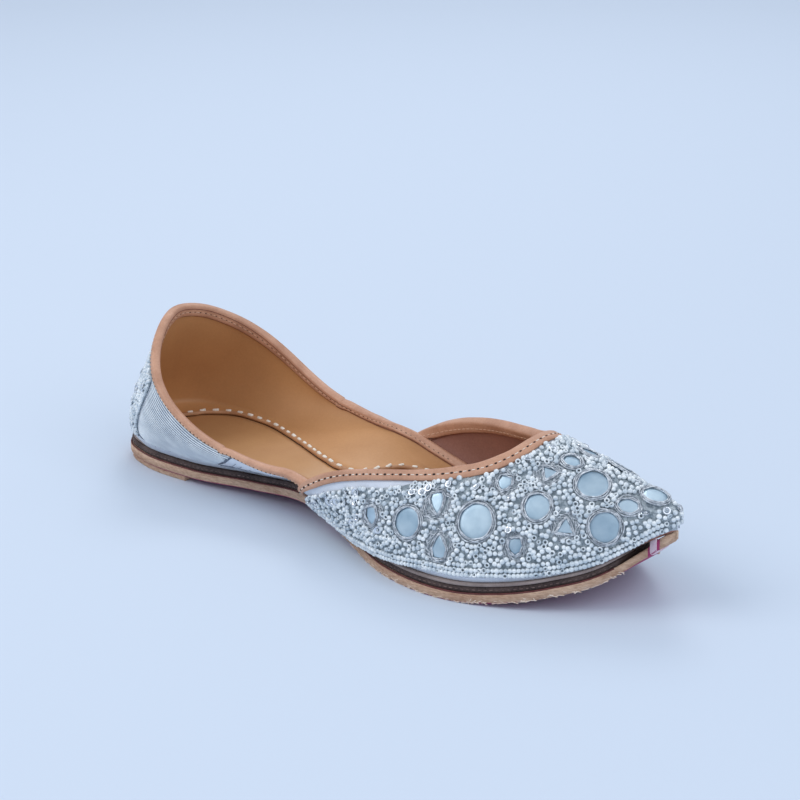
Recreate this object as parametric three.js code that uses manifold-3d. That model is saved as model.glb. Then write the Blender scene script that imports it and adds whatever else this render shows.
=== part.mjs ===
// Embroidered leather mojari for the left foot, in millimetres.
// +X runs to the toe, -Y is the inner side of the foot, +Z is up.
import * as THREE from 'three';
import { mergeVertices } from 'three/addons/utils/BufferGeometryUtils.js';
import Module from 'manifold-3d';

const wasm = await Module();
wasm.setup();

// Thicknesses of the sole stack and the gap between neighbouring layers
const layerGap = 0.3;
const heelLiftThick = 2;
const outsoleThick = 3.4;
const toeTabThick = 4.2;
const toeTabStart = 242;
const toeTabSlope = 2.5;
const outsoleEnd = 250;
const midsoleThick = 2.2;
const boardThick = 1.1;
const insoleThick = 1.2;

// How far each layer's edge sits inside the outsole's edge
const heelLiftInset = 0.8;
const midsoleInset = 0.7;
const boardInset = 0.2;
const insoleInset = 6.9;

// Where layers begin and end along the shoe
const heelLiftStart = 4;
const heelLiftEnd = 42;
const midsoleEnd = 237;
const boardEnd = 236.5;
const insoleEnd = 223;
const marginGatherStart = 226;

// Upper: leather and lining together, and the margin turned in under the foot
const quarterThick = 1.5;
const vampThick = 1.8;
const quarterTuck = 1.5;
const marginWidth = 4.6;
const marginThick = 1.7;
const soleSeat = 0.3;
const liningClear = 0.4;
const liningMost = 0.7;

// Bindings folded over the toplines
const bindingThick = 0.7;
const quarterLegs = { outside: 2, inside: 3.8 };
const vampLegs = { outside: 4.4, inside: 4.4 };
const shoulderRise = 0.1;
const shoulderIn = 0.4;

// Raised bead embroidery
const beadworkThick = 1.4;
const beadworkFoot = 3;
const heelStripHalf = 28;
const heelStripThick = 1.5;

const stackHeight = outsoleThick + midsoleThick + boardThick + 2 * layerGap + soleSeat;

// Centre line of the foot, bent toward the inner side at the ball
const centreRows = [
  { along: 0, aside: 0 },
  { along: 60, aside: 0 },
  { along: 125, aside: -2 },
  { along: 190, aside: -4.5 },
  { along: 232, aside: -1.4 },
  { along: 254, aside: 0 },
];

// Underside of the outsole above the floor
const profileRows = [
  { along: 0, lift: 2.9 },
  { along: 12, lift: 2.3 },
  { along: 45, lift: 2.3 },
  { along: 75, lift: 3.6 },
  { along: 98, lift: 5.4 },
  { along: 122, lift: 3 },
  { along: 146, lift: 0 },
  { along: 186, lift: 0 },
  { along: 204, lift: 1.6 },
  { along: 220, lift: 5.2 },
  { along: 235, lift: 11.3 },
  { along: 243, lift: 18.4 },
  { along: 246.5, lift: 21.6 },
  { along: 250, lift: 24 },
];

// Edge of the outsole, measured from the centre line to each side
const soleRows = [
  { along: 0, near: 0, far: 0 },
  { along: 0.9, near: 9, far: 9.4 },
  { along: 6.6, near: 18.2, far: 18.8 },
  { along: 18.8, near: 23.7, far: 24.4 },
  { along: 43.8, near: 25, far: 26 },
  { along: 73.4, near: 20.6, far: 20.4 },
  { along: 103.8, near: 20.4, far: 20 },
  { along: 133.4, near: 29.6, far: 28.8 },
  { along: 158.4, near: 39, far: 35.8 },
  { along: 178.9, near: 41, far: 38.8 },
  { along: 199.2, near: 37, far: 36 },
  { along: 219.5, near: 28, far: 27.9 },
  { along: 232, near: 18.5, far: 18.5 },
  { along: 239.5, near: 8.6, far: 8.6 },
  { along: 242.5, near: 4.4, far: 4.4 },
  { along: 246.5, near: 4.3, far: 4.3 },
  { along: 249.4, near: 3.6, far: 3.6 },
  { along: 250, near: 1.6, far: 1.6 },
];

// Ribs of the last: the foot of each rib on the sole, its top at the collar or
// the ridge, and how far its two inner control points stand out, up and down
const ribRows = [
  { along: 1.2, near: 0, far: 0, top: 17, nearHalf: 0, farHalf: 0, high: 59,
    outLow: 2.5, upLow: 14, outHigh: 3, downHigh: 16, sink: 0 },
  { along: 2.1, near: 8.5, far: 8.9, top: 19.5, nearHalf: 10, farHalf: 11, high: 57.2,
    outLow: 2.5, upLow: 14, outHigh: 3, downHigh: 16, sink: 0 },
  { along: 7.8, near: 17, far: 17.6, top: 26, nearHalf: 22, farHalf: 23.5, high: 50.8,
    outLow: 3, upLow: 13, outHigh: 3.5, downHigh: 14, sink: 0 },
  { along: 19.4, near: 22.5, far: 23.2, top: 36.8, nearHalf: 32, farHalf: 32.4, high: 41.6,
    outLow: 4, upLow: 10, outHigh: 3, downHigh: 11, sink: 0 },
  { along: 44, near: 23.8, far: 24.8, top: 54.8, nearHalf: 35.2, farHalf: 35.2, high: 30,
    outLow: 6, upLow: 6, outHigh: 2, downHigh: 8, sink: 0 },
  { along: 73.4, near: 19.4, far: 19.2, top: 76, nearHalf: 34, farHalf: 34, high: 23.6,
    outLow: 8, upLow: 3, outHigh: 2, downHigh: 5, sink: 0 },
  { along: 98, near: 19, far: 18.6, top: 97, nearHalf: 33, farHalf: 33, high: 23,
    outLow: 7, upLow: 3, outHigh: 1.5, downHigh: 5, sink: 0 },
  { along: 118, near: 23.6, far: 22.6, top: 115.5, nearHalf: 34.4, farHalf: 34.4, high: 27,
    outLow: 10.5, upLow: 2.5, outHigh: 1.5, downHigh: 6, sink: 0 },
  { along: 136, near: 29.8, far: 28.6, top: 132, nearHalf: 34, farHalf: 34, high: 32,
    outLow: 9.5, upLow: 5, outHigh: 2.5, downHigh: 7, sink: 0 },
  { along: 158.4, near: 38, far: 35.2, top: 152, nearHalf: 27.5, farHalf: 27.5, high: 41.6,
    outLow: 6, upLow: 11, outHigh: 6.5, downHigh: 5, sink: 0 },
  { along: 178.9, near: 39.8, far: 37.6, top: 169, nearHalf: 12, farHalf: 12, high: 50,
    outLow: 2.5, upLow: 14, outHigh: 13, downHigh: 2.5, sink: 0 },
  { along: 190, near: 38.2, far: 36.8, top: 181, nearHalf: 0, farHalf: 0, high: 52.4,
    outLow: 2, upLow: 16, outHigh: 19, downHigh: 0, sink: 0 },
  { along: 199.2, near: 35.8, far: 34.8, top: 191, nearHalf: 0, farHalf: 0, high: 51.2,
    outLow: 1.5, upLow: 17, outHigh: 17, downHigh: 0, sink: 0 },
  { along: 209, near: 32, far: 31.6, top: 202, nearHalf: 0, farHalf: 0, high: 48.8,
    outLow: 1.5, upLow: 17, outHigh: 15, downHigh: 0, sink: 0 },
  { along: 221, near: 25.8, far: 25.8, top: 217, nearHalf: 0, farHalf: 0, high: 45.2,
    outLow: 1.5, upLow: 15, outHigh: 12.5, downHigh: 0, sink: 0 },
  { along: 234, near: 15.6, far: 15.6, top: 233, nearHalf: 0, farHalf: 0, high: 41,
    outLow: 1, upLow: 11, outHigh: 9, downHigh: 0, sink: 0 },
  { along: 243, near: 7.6, far: 7.6, top: 243.5, nearHalf: 0, farHalf: 0, high: 38.2,
    outLow: 0.8, upLow: 7, outHigh: 5.5, downHigh: 0, sink: 1.4 },
  { along: 249, near: 3.2, far: 3.2, top: 249.6, nearHalf: 0, farHalf: 0, high: 36,
    outLow: 0.4, upLow: 4, outHigh: 2.6, downHigh: 0, sink: 2.4 },
  { along: 251.4, near: 0, far: 0, top: 252, nearHalf: 0, farHalf: 0, high: 33.6,
    outLow: 0, upLow: 2, outHigh: 0, downHigh: 0, sink: 2.5 },
];

// Height of each topline above the floor, from where it leaves the rib tops
const quarterEdge = [
  { along: 76, high: 23.6 },
  { along: 86, high: 21.6 },
  { along: 98, high: 20.4 },
  { along: 116, high: 18 },
  { along: 130, high: 14.8 },
  { along: 141, high: 11.8 },
];
const vampEdge = [
  { along: 107.5, high: 12.5 },
  { along: 109.5, high: 15.4 },
  { along: 112.5, high: 18.4 },
  { along: 116, high: 21 },
  { along: 122, high: 24.6 },
  { along: 131, high: 28.6 },
  { along: 143, high: 32.4 },
  { along: 155, high: 35.2 },
  { along: 168, high: 38 },
  { along: 178, high: 40.6 },
  { along: 185, high: 43 },
  { along: 190, high: 45.4 },
  { along: 194, high: 48.2 },
  { along: 196.5, high: 51.5 },
];
const beadworkEdge = [
  { along: 109, high: 12.2 },
  { along: 114, high: 14.6 },
  { along: 122, high: 17.8 },
  { along: 134, high: 21.4 },
  { along: 150, high: 25.8 },
  { along: 166, high: 29.6 },
  { along: 180, high: 33.4 },
  { along: 190, high: 37 },
  { along: 198, high: 41.6 },
  { along: 203, high: 45.6 },
  { along: 206, high: 49.5 },
];

// Ends of the two leather parts and of the embroidery, at the feet of the ribs
const quarterFront = 141;
const wingRear = 108.6;
const beadworkRear = 111;
const beadworkFront = 250.2;
const cavityFront = 238;
const cavityEase = 214;

// Where the ribs turn to lean sideways, where the quarter slips inside the vamp, and the toe margin
const leanStart = 30;
const leanEnd = 90;
const tuckStart = 92;
const tuckEnd = 107;
const marginGather = 18;
const legTaper = 16;
const legTaperLeast = 0.45;
const wingClearance = 4;
const quarterRaise = 0.05;
const heelStripFoot = 3;
const heelStripTop = 5;

// How finely each form is faceted
const soleSteps = 40;
const wallSteps = 5;
const quarterSteps = 60;
const wingSteps = 16;
const toeSteps = 11;
const crowding = 0.7;
const apexGap = 0.02;
const overlaySteps = 5;
const heelSteps = 20;

// Places this far up a rib count as its top, and toplines start this far before their first row
const ridgeUp = 0.9999;
const toplineLead = 8;

// Colours, roughness and metalness
const leatherTan = { color: '#b98a5e', roughness: 0.75, metalness: 0 };
const leatherRaw = { color: '#c29a72', roughness: 0.85, metalness: 0 };
const leatherDark = { color: '#4a2f28', roughness: 0.8, metalness: 0 };
const boardGrey = { color: '#8f857c', roughness: 0.85, metalness: 0 };
const bindingRose = { color: '#cf9a7c', roughness: 0.6, metalness: 0 };
const satinWhite = { color: '#d9dde3', roughness: 0.6, metalness: 0 };
const beadWhite = { color: '#cfd8de', roughness: 0.35, metalness: 0.1 };

// Smooth curve through a column of a table; limited slopes never overshoot
function track(knots, values, limited) {
  const last = knots.length - 1;
  const secant = (i) => (values[i + 1] - values[i]) / (knots[i + 1] - knots[i]);
  const slopes = values.map((value, i) => {
    if (i === 0) return secant(0);
    if (i === last) return secant(last - 1);
    const before = knots[i] - knots[i - 1];
    const after = knots[i + 1] - knots[i];
    if (limited && secant(i - 1) * secant(i) <= 0) return 0;
    const mean = (secant(i - 1) * after + secant(i) * before) / (before + after);
    if (!limited) return mean;
    const steepest = 3 * Math.min(Math.abs(secant(i - 1)), Math.abs(secant(i)));
    return THREE.MathUtils.clamp(mean, -steepest, steepest);
  });
  return (at) => {
    let i = 0;
    while (i < last - 1 && at > knots[i + 1]) i += 1;
    const span = knots[i + 1] - knots[i];
    const s = THREE.MathUtils.clamp((at - knots[i]) / span, 0, 1);
    const rise = s * s * (3 - 2 * s);
    const leave = s * (1 - s) * (1 - s) * span;
    const arrive = s * s * (s - 1) * span;
    return values[i] + (values[i + 1] - values[i]) * rise + slopes[i] * leave + slopes[i + 1] * arrive;
  };
}

const column = (rows, name) => rows.map((row) => row[name]);
const centreLine = track(column(centreRows, 'along'), column(centreRows, 'aside'), false);
const soleLift = track(column(profileRows, 'along'), column(profileRows, 'lift'), true);

// Distances walked along an outline, row by row, the heel at zero
function walk(rows) {
  const knots = [0];
  for (let i = 1; i < rows.length; i += 1) {
    const wide = (row) => (row.near + row.far) / 2;
    const step = Math.hypot(rows[i].along - rows[i - 1].along, wide(rows[i]) - wide(rows[i - 1]));
    knots.push(knots[i - 1] + step);
  }
  return knots;
}

// Column over both sides: minus walks to the toe on the near side, plus on the far side
function bothSides(rows, nearValue, farValue, limited) {
  const knots = walk(rows);
  const left = knots.slice(1).reverse().map((knot) => -knot);
  const values = rows.slice(1).reverse().map(nearValue).concat(rows.map(farValue));
  return track(left.concat(knots), values, limited);
}

function outline(rows) {
  const x = bothSides(rows, (row) => row.along, (row) => row.along, false);
  const aside = bothSides(rows, (row) => -row.near, (row) => row.far, false);
  const reach = walk(rows).at(-1);
  const point = (at) => new THREE.Vector2(x(at), centreLine(x(at)) + aside(at));
  const outward = (at) => {
    const step = 0.05;
    const a = point(Math.max(at - step, -reach));
    const b = point(Math.min(at + step, reach));
    return new THREE.Vector2(b.y - a.y, a.x - b.x).multiplyScalar(-1).normalize();
  };
  return { reach, point, outward };
}

// Distance along an outline at which it passes a place along the shoe
function distanceAt(edge, along) {
  let low = 0;
  let high = edge.reach;
  for (let i = 0; i < 40; i += 1) {
    const middle = (low + high) / 2;
    if (edge.point(middle).x < along) low = middle;
    else high = middle;
  }
  return low;
}

const soleEdge = outline(soleRows);
const footEdge = outline(ribRows);
const both = (name, limited) => bothSides(ribRows, (row) => row[name], (row) => row[name], limited);
const ribTop = both('top', false);
const ribHigh = both('high', false);
const ribHalf = bothSides(ribRows, (row) => -row.nearHalf, (row) => row.farHalf, true);
const ribControls = {
  outLow: both('outLow', true),
  upLow: both('upLow', true),
  outHigh: both('outHigh', true),
  downHigh: both('downHigh', true),
  sink: both('sink', true),
};

// Direction in which the tops of the ribs lean: outward at the heel, sideways further on
function topOutward(at) {
  const sideways = new THREE.Vector2(0, at < 0 ? -1 : 1);
  const blend = THREE.MathUtils.smoothstep(footEdge.point(at).x, leanStart, leanEnd);
  return footEdge.outward(at).lerp(sideways, blend).normalize();
}

// Point of the last: distance along the foot edge, and 0 to 1 up the rib
function lastPoint(at, up) {
  const foot = footEdge.point(at);
  const low = footEdge.outward(at).multiplyScalar(ribControls.outLow(at));
  const high = topOutward(at).multiplyScalar(ribControls.outHigh(at));
  const topX = ribTop(at);
  const topY = centreLine(topX) + ribHalf(at);
  const footZ = soleLift(foot.x) + stackHeight - ribControls.sink(at);
  const a = new THREE.Vector3(foot.x, foot.y, footZ);
  const b = new THREE.Vector3(foot.x + low.x, foot.y + low.y, footZ + ribControls.upLow(at));
  const d = new THREE.Vector3(topX, topY, ribHigh(at));
  const c = new THREE.Vector3(topX + high.x, topY + high.y, d.z - ribControls.downHigh(at));
  return new THREE.CubicBezierCurve3(a, b, c, d).getPoint(up);
}

// Outward normal of the last
function lastNormal(at, up) {
  const step = 0.3;
  const rise = 0.01;
  const limit = footEdge.reach - 0.1;
  const tip = Math.abs(at) > limit;
  const spot = tip ? limit : at;
  const back = lastPoint(Math.max(spot - step, -limit), up);
  const front = lastPoint(Math.min(spot + step, limit), up);
  if (up > ridgeUp && onRidge(at)) {
    const toe = front.x > back.x ? 1 : -1;
    return new THREE.Vector3((back.z - front.z) * toe, 0, (front.x - back.x) * toe).normalize();
  }
  const below = lastPoint(spot, Math.max(Math.min(up, 1) - rise, 0));
  const above = lastPoint(spot, Math.min(up + rise, 1));
  const normal = front.sub(back).cross(above.sub(below)).negate();
  if (tip) normal.y = 0;
  return normal.normalize();
}

function onRidge(at) {
  return Math.abs(at) > footEdge.reach / 2 && Math.abs(ribHalf(at)) < 1e-6;
}

// Point that stands a distance out from the last
function offsetPoint(at, up, out) {
  return lastPoint(at, up).addScaledVector(lastNormal(at, up), out);
}

// How far up its rib a topline crosses it
function reachOf(at, edge) {
  const height = track(column(edge, 'along'), column(edge, 'high'), true);
  const first = edge[0].along;
  const over = (up) => {
    const point = lastPoint(at, up);
    return point.z - height(point.x);
  };
  if (footEdge.point(at).x < first - toplineLead || over(1) <= 0) return 1;
  let low = 0;
  let high = 1;
  for (let i = 0; i < 30; i += 1) {
    const middle = (low + high) / 2;
    if (over(middle) < 0) low = middle;
    else high = middle;
  }
  return low;
}

// Triangles collected as loose corners, then welded into one closed mesh
class Skin {
  constructor() {
    this.corners = [];
  }

  triangle(a, b, c) {
    this.corners.push(a, b, c);
  }

  quad(a, b, c, d) {
    this.triangle(a, b, c);
    this.triangle(a, c, d);
  }

  geometry() {
    const loose = new THREE.BufferGeometry().setFromPoints(this.corners);
    const welded = mergeVertices(loose, 1e-4);
    const kept = [];
    const index = welded.index.array;
    for (let i = 0; i < index.length; i += 3) {
      const [a, b, c] = [index[i], index[i + 1], index[i + 2]];
      if (a !== b && b !== c && c !== a) kept.push(a, b, c);
    }
    welded.setIndex(kept);
    if (volumeOf(welded) < 0) kept.reverse();
    welded.setIndex(kept);
    return welded;
  }
}

function volumeOf(geometry) {
  const spots = geometry.attributes.position;
  const index = geometry.index.array;
  const [a, b, c] = [new THREE.Vector3(), new THREE.Vector3(), new THREE.Vector3()];
  let sum = 0;
  for (let i = 0; i < index.length; i += 3) {
    a.fromBufferAttribute(spots, index[i]);
    b.fromBufferAttribute(spots, index[i + 1]);
    c.fromBufferAttribute(spots, index[i + 2]);
    sum += a.dot(b.cross(c)) / 6;
  }
  return sum;
}

function toSolid(geometry) {
  const vertProperties = new Float32Array(geometry.attributes.position.array);
  const triVerts = new Uint32Array(geometry.index.array);
  return new wasm.Manifold(new wasm.Mesh({ numProp: 3, vertProperties, triVerts }));
}

function fromSolid(solid) {
  const mesh = solid.getMesh();
  const geometry = new THREE.BufferGeometry();
  geometry.setAttribute('position', new THREE.BufferAttribute(mesh.vertProperties, 3));
  geometry.setIndex(new THREE.BufferAttribute(mesh.triVerts, 1));
  return geometry;
}

// The biggest body that a cut leaves, without loose slivers
function mainBody(solid) {
  return solid.decompose().sort((a, b) => b.volume() - a.volume())[0];
}

// Even steps from one value to another, both ends included
function steps(from, to, count) {
  return Array.from({ length: count + 1 }, (_, i) => from + ((to - from) * i) / count);
}

// A band of rings, each a closed polygon, joined ring to ring; caps pair corner k with its mirror
function bandSkin(rings) {
  const skin = new Skin();
  const size = rings[0].length;
  for (let i = 0; i < rings.length - 1; i += 1) {
    for (let k = 0; k < size; k += 1) {
      const next = (k + 1) % size;
      skin.quad(rings[i][k], rings[i + 1][k], rings[i + 1][next], rings[i][next]);
    }
  }
  capRing(skin, rings[0], false);
  capRing(skin, rings.at(-1), true);
  return skin;
}

function capRing(skin, ring, flip) {
  const size = ring.length;
  for (let k = 0; k < size / 2 - 1; k += 1) {
    const [a, b, c, d] = [ring[k], ring[k + 1], ring[size - 2 - k], ring[size - 1 - k]];
    if (flip) skin.quad(d, c, b, a);
    else skin.quad(a, b, c, d);
  }
}

// A layer of the sole between two heights above its underside
function soleLayer(inset, from, to, bottom, top) {
  const start = distanceAt(soleEdge, from);
  const end = distanceAt(soleEdge, to);
  const rings = steps(start, end, soleSteps).map((at) => {
    const corner = (signed, lift) => {
      const plan = soleEdge.point(signed).addScaledVector(soleEdge.outward(signed), -inset);
      return new THREE.Vector3(plan.x, plan.y, lift(plan.x));
    };
    return [corner(-at, bottom), corner(-at, top), corner(at, top), corner(at, bottom)];
  });
  return bandSkin(rings).geometry();
}

// Floor of the upper: the top of the sole stack
function floorAt(x) {
  return soleLift(x) + stackHeight;
}

// The hollow stops short of the toe, where the leather is solid
const easeStart = distanceAt(footEdge, cavityEase);
const easeEnd = distanceAt(footEdge, cavityFront);
const gatherStart = distanceAt(footEdge, marginGatherStart);
function insideAt(at) {
  const from = Math.abs(at);
  if (from <= easeStart) return at;
  const whole = footEdge.reach - easeStart;
  const share = (from - easeStart) / whole;
  const loss = 1 - (easeEnd - easeStart) / whole;
  return Math.sign(at) * (easeStart + whole * (share - loss * share * share));
}

// Inner edge of the margin turned in under the foot; both sides meet near the toe
function marginEnd(at) {
  const there = Math.abs(insideAt(at));
  const gather = THREE.MathUtils.smoothstep(there, gatherStart, easeEnd);
  const width = marginWidth + marginGather * gather;
  const end = (signed) => footEdge.point(signed).addScaledVector(footEdge.outward(signed), -width);
  const near = end(-there);
  const far = end(there);
  if (there > easeStart && near.y >= far.y - 0.4) {
    const x = (near.x + far.x) / 2;
    return { plan: new THREE.Vector2(x, centreLine(x)), closed: true };
  }
  return { plan: at < 0 ? near : far, closed: false };
}

// Cross section of a leather part: up the outside, over its edge and down the inside
function leatherRing(at, part) {
  const outer = part.outer(at);
  const inner = outer - part.thick;
  const reach = part.reach(at);
  const margin = marginEnd(at);
  const marginZ = floorAt(margin.plan.x) + part.raise;
  const foot = offsetPoint(at, 0, outer);
  foot.z = lastPoint(at, 0).z + part.raise;
  const inside = insideAt(at);
  const insideReach = inside === at ? reach : 1;
  const clear = lastPoint(inside, 0).z + part.raise + marginThick + liningClear;
  let first = 0;
  while (offsetPoint(inside, first, inner).z < clear && first < insideReach * liningMost) first += 0.01;
  const outerPath = [new THREE.Vector3(margin.plan.x, margin.plan.y, marginZ), foot];
  const innerPath = [new THREE.Vector3(margin.plan.x, margin.plan.y, marginZ + marginThick)];
  innerPath.push(offsetPoint(inside, first, inner));
  for (let k = 1; k <= wallSteps; k += 1) {
    const spare = k === wallSteps ? part.spare(at) : 0;
    outerPath.push(offsetPoint(at, (reach * k) / wallSteps + spare, outer));
    innerPath.push(offsetPoint(inside, first + ((insideReach - first) * k) / wallSteps + spare, inner));
  }
  const ring = outerPath.concat(innerPath.reverse());
  return { ring, ridge: reach === 1 && onRidge(at), closed: margin.closed };
}

// Near and far bands that join along the ridge, and under the foot where the margins meet
function pairedBands(stations, section, endWall) {
  const skin = new Skin();
  const ends = [];
  for (const side of [-1, 1]) {
    const sections = stations.map((at) => section(side * at));
    const size = sections[0].ring.length;
    const put = (a, b, c, d) => (side < 0 ? skin.quad(a, b, c, d) : skin.quad(d, c, b, a));
    for (let i = 0; i < sections.length - 1; i += 1) {
      const [from, to] = [sections[i], sections[i + 1]];
      for (let k = 0; k < size; k += 1) {
        const next = (k + 1) % size;
        const rim = k === size / 2 - 1 && from.ridge && to.ridge;
        const seam = k === size - 1 && from.closed && to.closed;
        if (!rim && !seam) put(from.ring[k], to.ring[k], to.ring[next], from.ring[next]);
      }
    }
    capRing(skin, sections[0].ring, side > 0);
    if (!endWall) capRing(skin, sections.at(-1).ring, side < 0);
    ends.push(sections.at(-1).ring.slice(size / 2).reverse());
  }
  const [near, far] = ends;
  for (let k = 0; endWall && k < near.length - 1; k += 1) {
    skin.quad(near[k], near[k + 1], far[k + 1], far[k]);
  }
  return skin.geometry();
}

// Distance along the foot edge at which a topline runs into the ridge
function apexOf(edge) {
  const height = track(column(edge, 'along'), column(edge, 'high'), true);
  let low = distanceAt(footEdge, 190);
  let high = distanceAt(footEdge, 232);
  for (let i = 0; i < 40; i += 1) {
    const middle = (low + high) / 2;
    const top = lastPoint(middle, 1);
    if (top.z > height(top.x)) low = middle;
    else high = middle;
  }
  return low;
}

// Stations that crowd together at a wing's end and where its topline turns across the ridge
function crowded(from, apex, to, before, after) {
  const ease = (s) => THREE.MathUtils.lerp(s, THREE.MathUtils.smoothstep(s, 0, 1), crowding);
  const early = steps(0, 1, before).map((s) => from + (apex - apexGap - from) * ease(s));
  const late = steps(0, 1, after).map((s) => apex + apexGap + (to - apex - apexGap) * s);
  return early.concat(late);
}

const tuckOf = (at) => -quarterTuck * THREE.MathUtils.smoothstep(footEdge.point(at).x, tuckStart, tuckEnd);

// The quarter runs round the heel; grow swells it all round for clearance cuts
function quarterShape(grow, inward) {
  const end = distanceAt(footEdge, quarterFront + grow);
  const part = {
    outer: (at) => tuckOf(at) + grow,
    thick: quarterThick + grow + inward,
    reach: (at) => reachOf(at, quarterEdge),
    spare: (at) => grow / ribLength(at),
    raise: quarterRaise,
  };
  return bandSkin(steps(-end, end, quarterSteps).map((at) => leatherRing(at, part).ring)).geometry();
}

function vampPart(grow) {
  const apex = apexOf(vampEdge);
  return {
    outer: () => grow,
    thick: vampThick + 2 * grow,
    reach: (at) => (Math.abs(at) > apex ? 1 : reachOf(at, vampEdge)),
    spare: (at) => (Math.abs(at) > apex ? 0 : (2 * grow) / ribLength(at)),
    raise: 0,
  };
}

function vampShape(grow) {
  const part = vampPart(grow);
  const from = distanceAt(footEdge, wingRear - grow);
  const stations = crowded(from, apexOf(vampEdge), footEdge.reach, wingSteps, toeSteps);
  return pairedBands(stations, (at) => leatherRing(at, part), true);
}

// Place on the last reached by sliding along its skin from one place by a short vector
function slide(at, up, move) {
  const step = 0.2;
  const rise = 0.01;
  const away = up > 0.5 ? -rise : rise;
  const here = lastPoint(at, up);
  const alongSkin = lastPoint(at + step, up).sub(here).divideScalar(step);
  const upSkin = lastPoint(at, up + away).sub(here).divideScalar(away);
  const [aa, ab, bb] = [alongSkin.dot(alongSkin), alongSkin.dot(upSkin), upSkin.dot(upSkin)];
  const [ra, rb] = [alongSkin.dot(move), upSkin.dot(move)];
  const det = aa * bb - ab * ab;
  const rate = { at: (ra * bb - rb * ab) / det, up: (rb * aa - ra * ab) / det };
  return { at: at + rate.at, up: THREE.MathUtils.clamp(up + rate.up, 0.02, 1) };
}

// A strip over a topline, still filled by the leather: one leg outside and one inside
function bindingShape(stations, leather, legs, grow, turn) {
  const spots = stations.map((place) => lastPoint(place.at, place.up));
  const skin = layerGap + bindingThick + grow;
  const rings = stations.map((place, i) => {
    const ahead = spots[Math.min(i + 1, spots.length - 1)];
    const tangent = ahead.clone().sub(spots[Math.max(i - 1, 0)]).normalize();
    const normal = lastNormal(place.at, place.up);
    const rim = normal.clone().cross(tangent).normalize().multiplyScalar(turn);
    const out = leather.outer(place.at);
    const taper = leather.taper(place.at);
    const leg = (drop, offset) => {
      const spot = slide(place.at, place.up, rim.clone().multiplyScalar(-drop * taper));
      return offsetPoint(spot.at, spot.up, out + offset);
    };
    const crest = (offset, rise) => {
      return spots[i].clone().addScaledVector(normal, out + offset).addScaledVector(rim, rise);
    };
    const outside = legs.outside + grow;
    const inside = legs.inside + grow;
    return [
      leg(outside, skin),
      leg(outside / 2, skin),
      crest(skin, shoulderRise),
      crest(skin * shoulderIn, skin),
      crest(-leather.thick - skin * shoulderIn, skin),
      crest(-leather.thick - skin, shoulderRise),
      leg(inside / 2, -leather.thick - skin),
      leg(inside, -leather.thick - skin),
    ];
  });
  return bandSkin(rings).geometry();
}

function quarterBinding(grow) {
  const end = distanceAt(footEdge, quarterFront - 1);
  const places = steps(-end, end, quarterSteps).map((at) => ({ at, up: reachOf(at, quarterEdge) }));
  const leather = { outer: tuckOf, thick: quarterThick, taper: () => 1 };
  return bindingShape(places, leather, quarterLegs, grow, -1);
}

// The vamp's legs are short where its strip turns down round the end of each wing
function taperAt(walked, from) {
  const share = THREE.MathUtils.smoothstep(walked, from, from + legTaper);
  return THREE.MathUtils.lerp(legTaperLeast, 1, share);
}

function vampBinding() {
  const apex = apexOf(vampEdge);
  const from = distanceAt(footEdge, wingRear);
  const near = crowded(from, apex, apex, wingSteps, 1).slice(0, -2);
  const places = near.map((at) => ({ at: -at, up: reachOf(-at, vampEdge) }));
  places.push({ at: -apex, up: 1 });
  const far = near.map((at) => ({ at, up: reachOf(at, vampEdge) })).reverse();
  const leather = {
    outer: () => 0,
    thick: vampThick,
    taper: (at) => taperAt(Math.abs(at), from),
  };
  return bindingShape(places.concat(far), leather, vampLegs, 0, 1);
}

// Raised layer between two places up each rib, sunk a little into the leather that cuts it
function overlayRing(at, low, high, thick) {
  const outerPath = steps(low, high, overlaySteps).map((up) => offsetPoint(at, up, layerGap + thick));
  const innerPath = steps(low, high, overlaySteps).map((up) => offsetPoint(at, up, -layerGap));
  return outerPath.concat(innerPath.reverse());
}

function ribLength(at) {
  const spots = steps(0, 1, 12).map((up) => lastPoint(at, up));
  return spots.slice(1).reduce((sum, spot, i) => sum + spot.distanceTo(spots[i]), 0);
}

function beadworkShape() {
  const apex = apexOf(beadworkEdge);
  const from = distanceAt(footEdge, beadworkRear);
  const to = distanceAt(footEdge, beadworkFront);
  return pairedBands(crowded(from, apex, to, wingSteps, toeSteps), (at) => {
    const high = Math.abs(at) > apex ? 1 : reachOf(at, beadworkEdge);
    const low = Math.min(beadworkFoot / ribLength(at), high - 0.05);
    return { ring: overlayRing(at, low, high, beadworkThick), ridge: high === 1, closed: false };
  }, false);
}

function heelStripShape() {
  const rings = steps(-heelStripHalf, heelStripHalf, heelSteps).map((at) => {
    const length = ribLength(at);
    return overlayRing(at, heelStripFoot / length, 1 - heelStripTop / length, heelStripThick);
  });
  return bandSkin(rings).geometry();
}

// Assembly
const shoe = new THREE.Group();
function add(name, geometry, look) {
  const mesh = new THREE.Mesh(geometry, new THREE.MeshStandardMaterial(look));
  mesh.name = name;
  shoe.add(mesh);
}

const above = (height) => (x) => soleLift(x) + height;
const midsoleBase = outsoleThick + layerGap;
const midsoleTop = midsoleBase + midsoleThick;
const boardBase = midsoleTop + layerGap;

// The outsole's top, raised at the tab under the toe
function outsoleTop(x) {
  const tab = THREE.MathUtils.smoothstep(x, toeTabStart, toeTabStart + toeTabSlope);
  return soleLift(x) + outsoleThick + (toeTabThick - outsoleThick) * tab;
}

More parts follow.
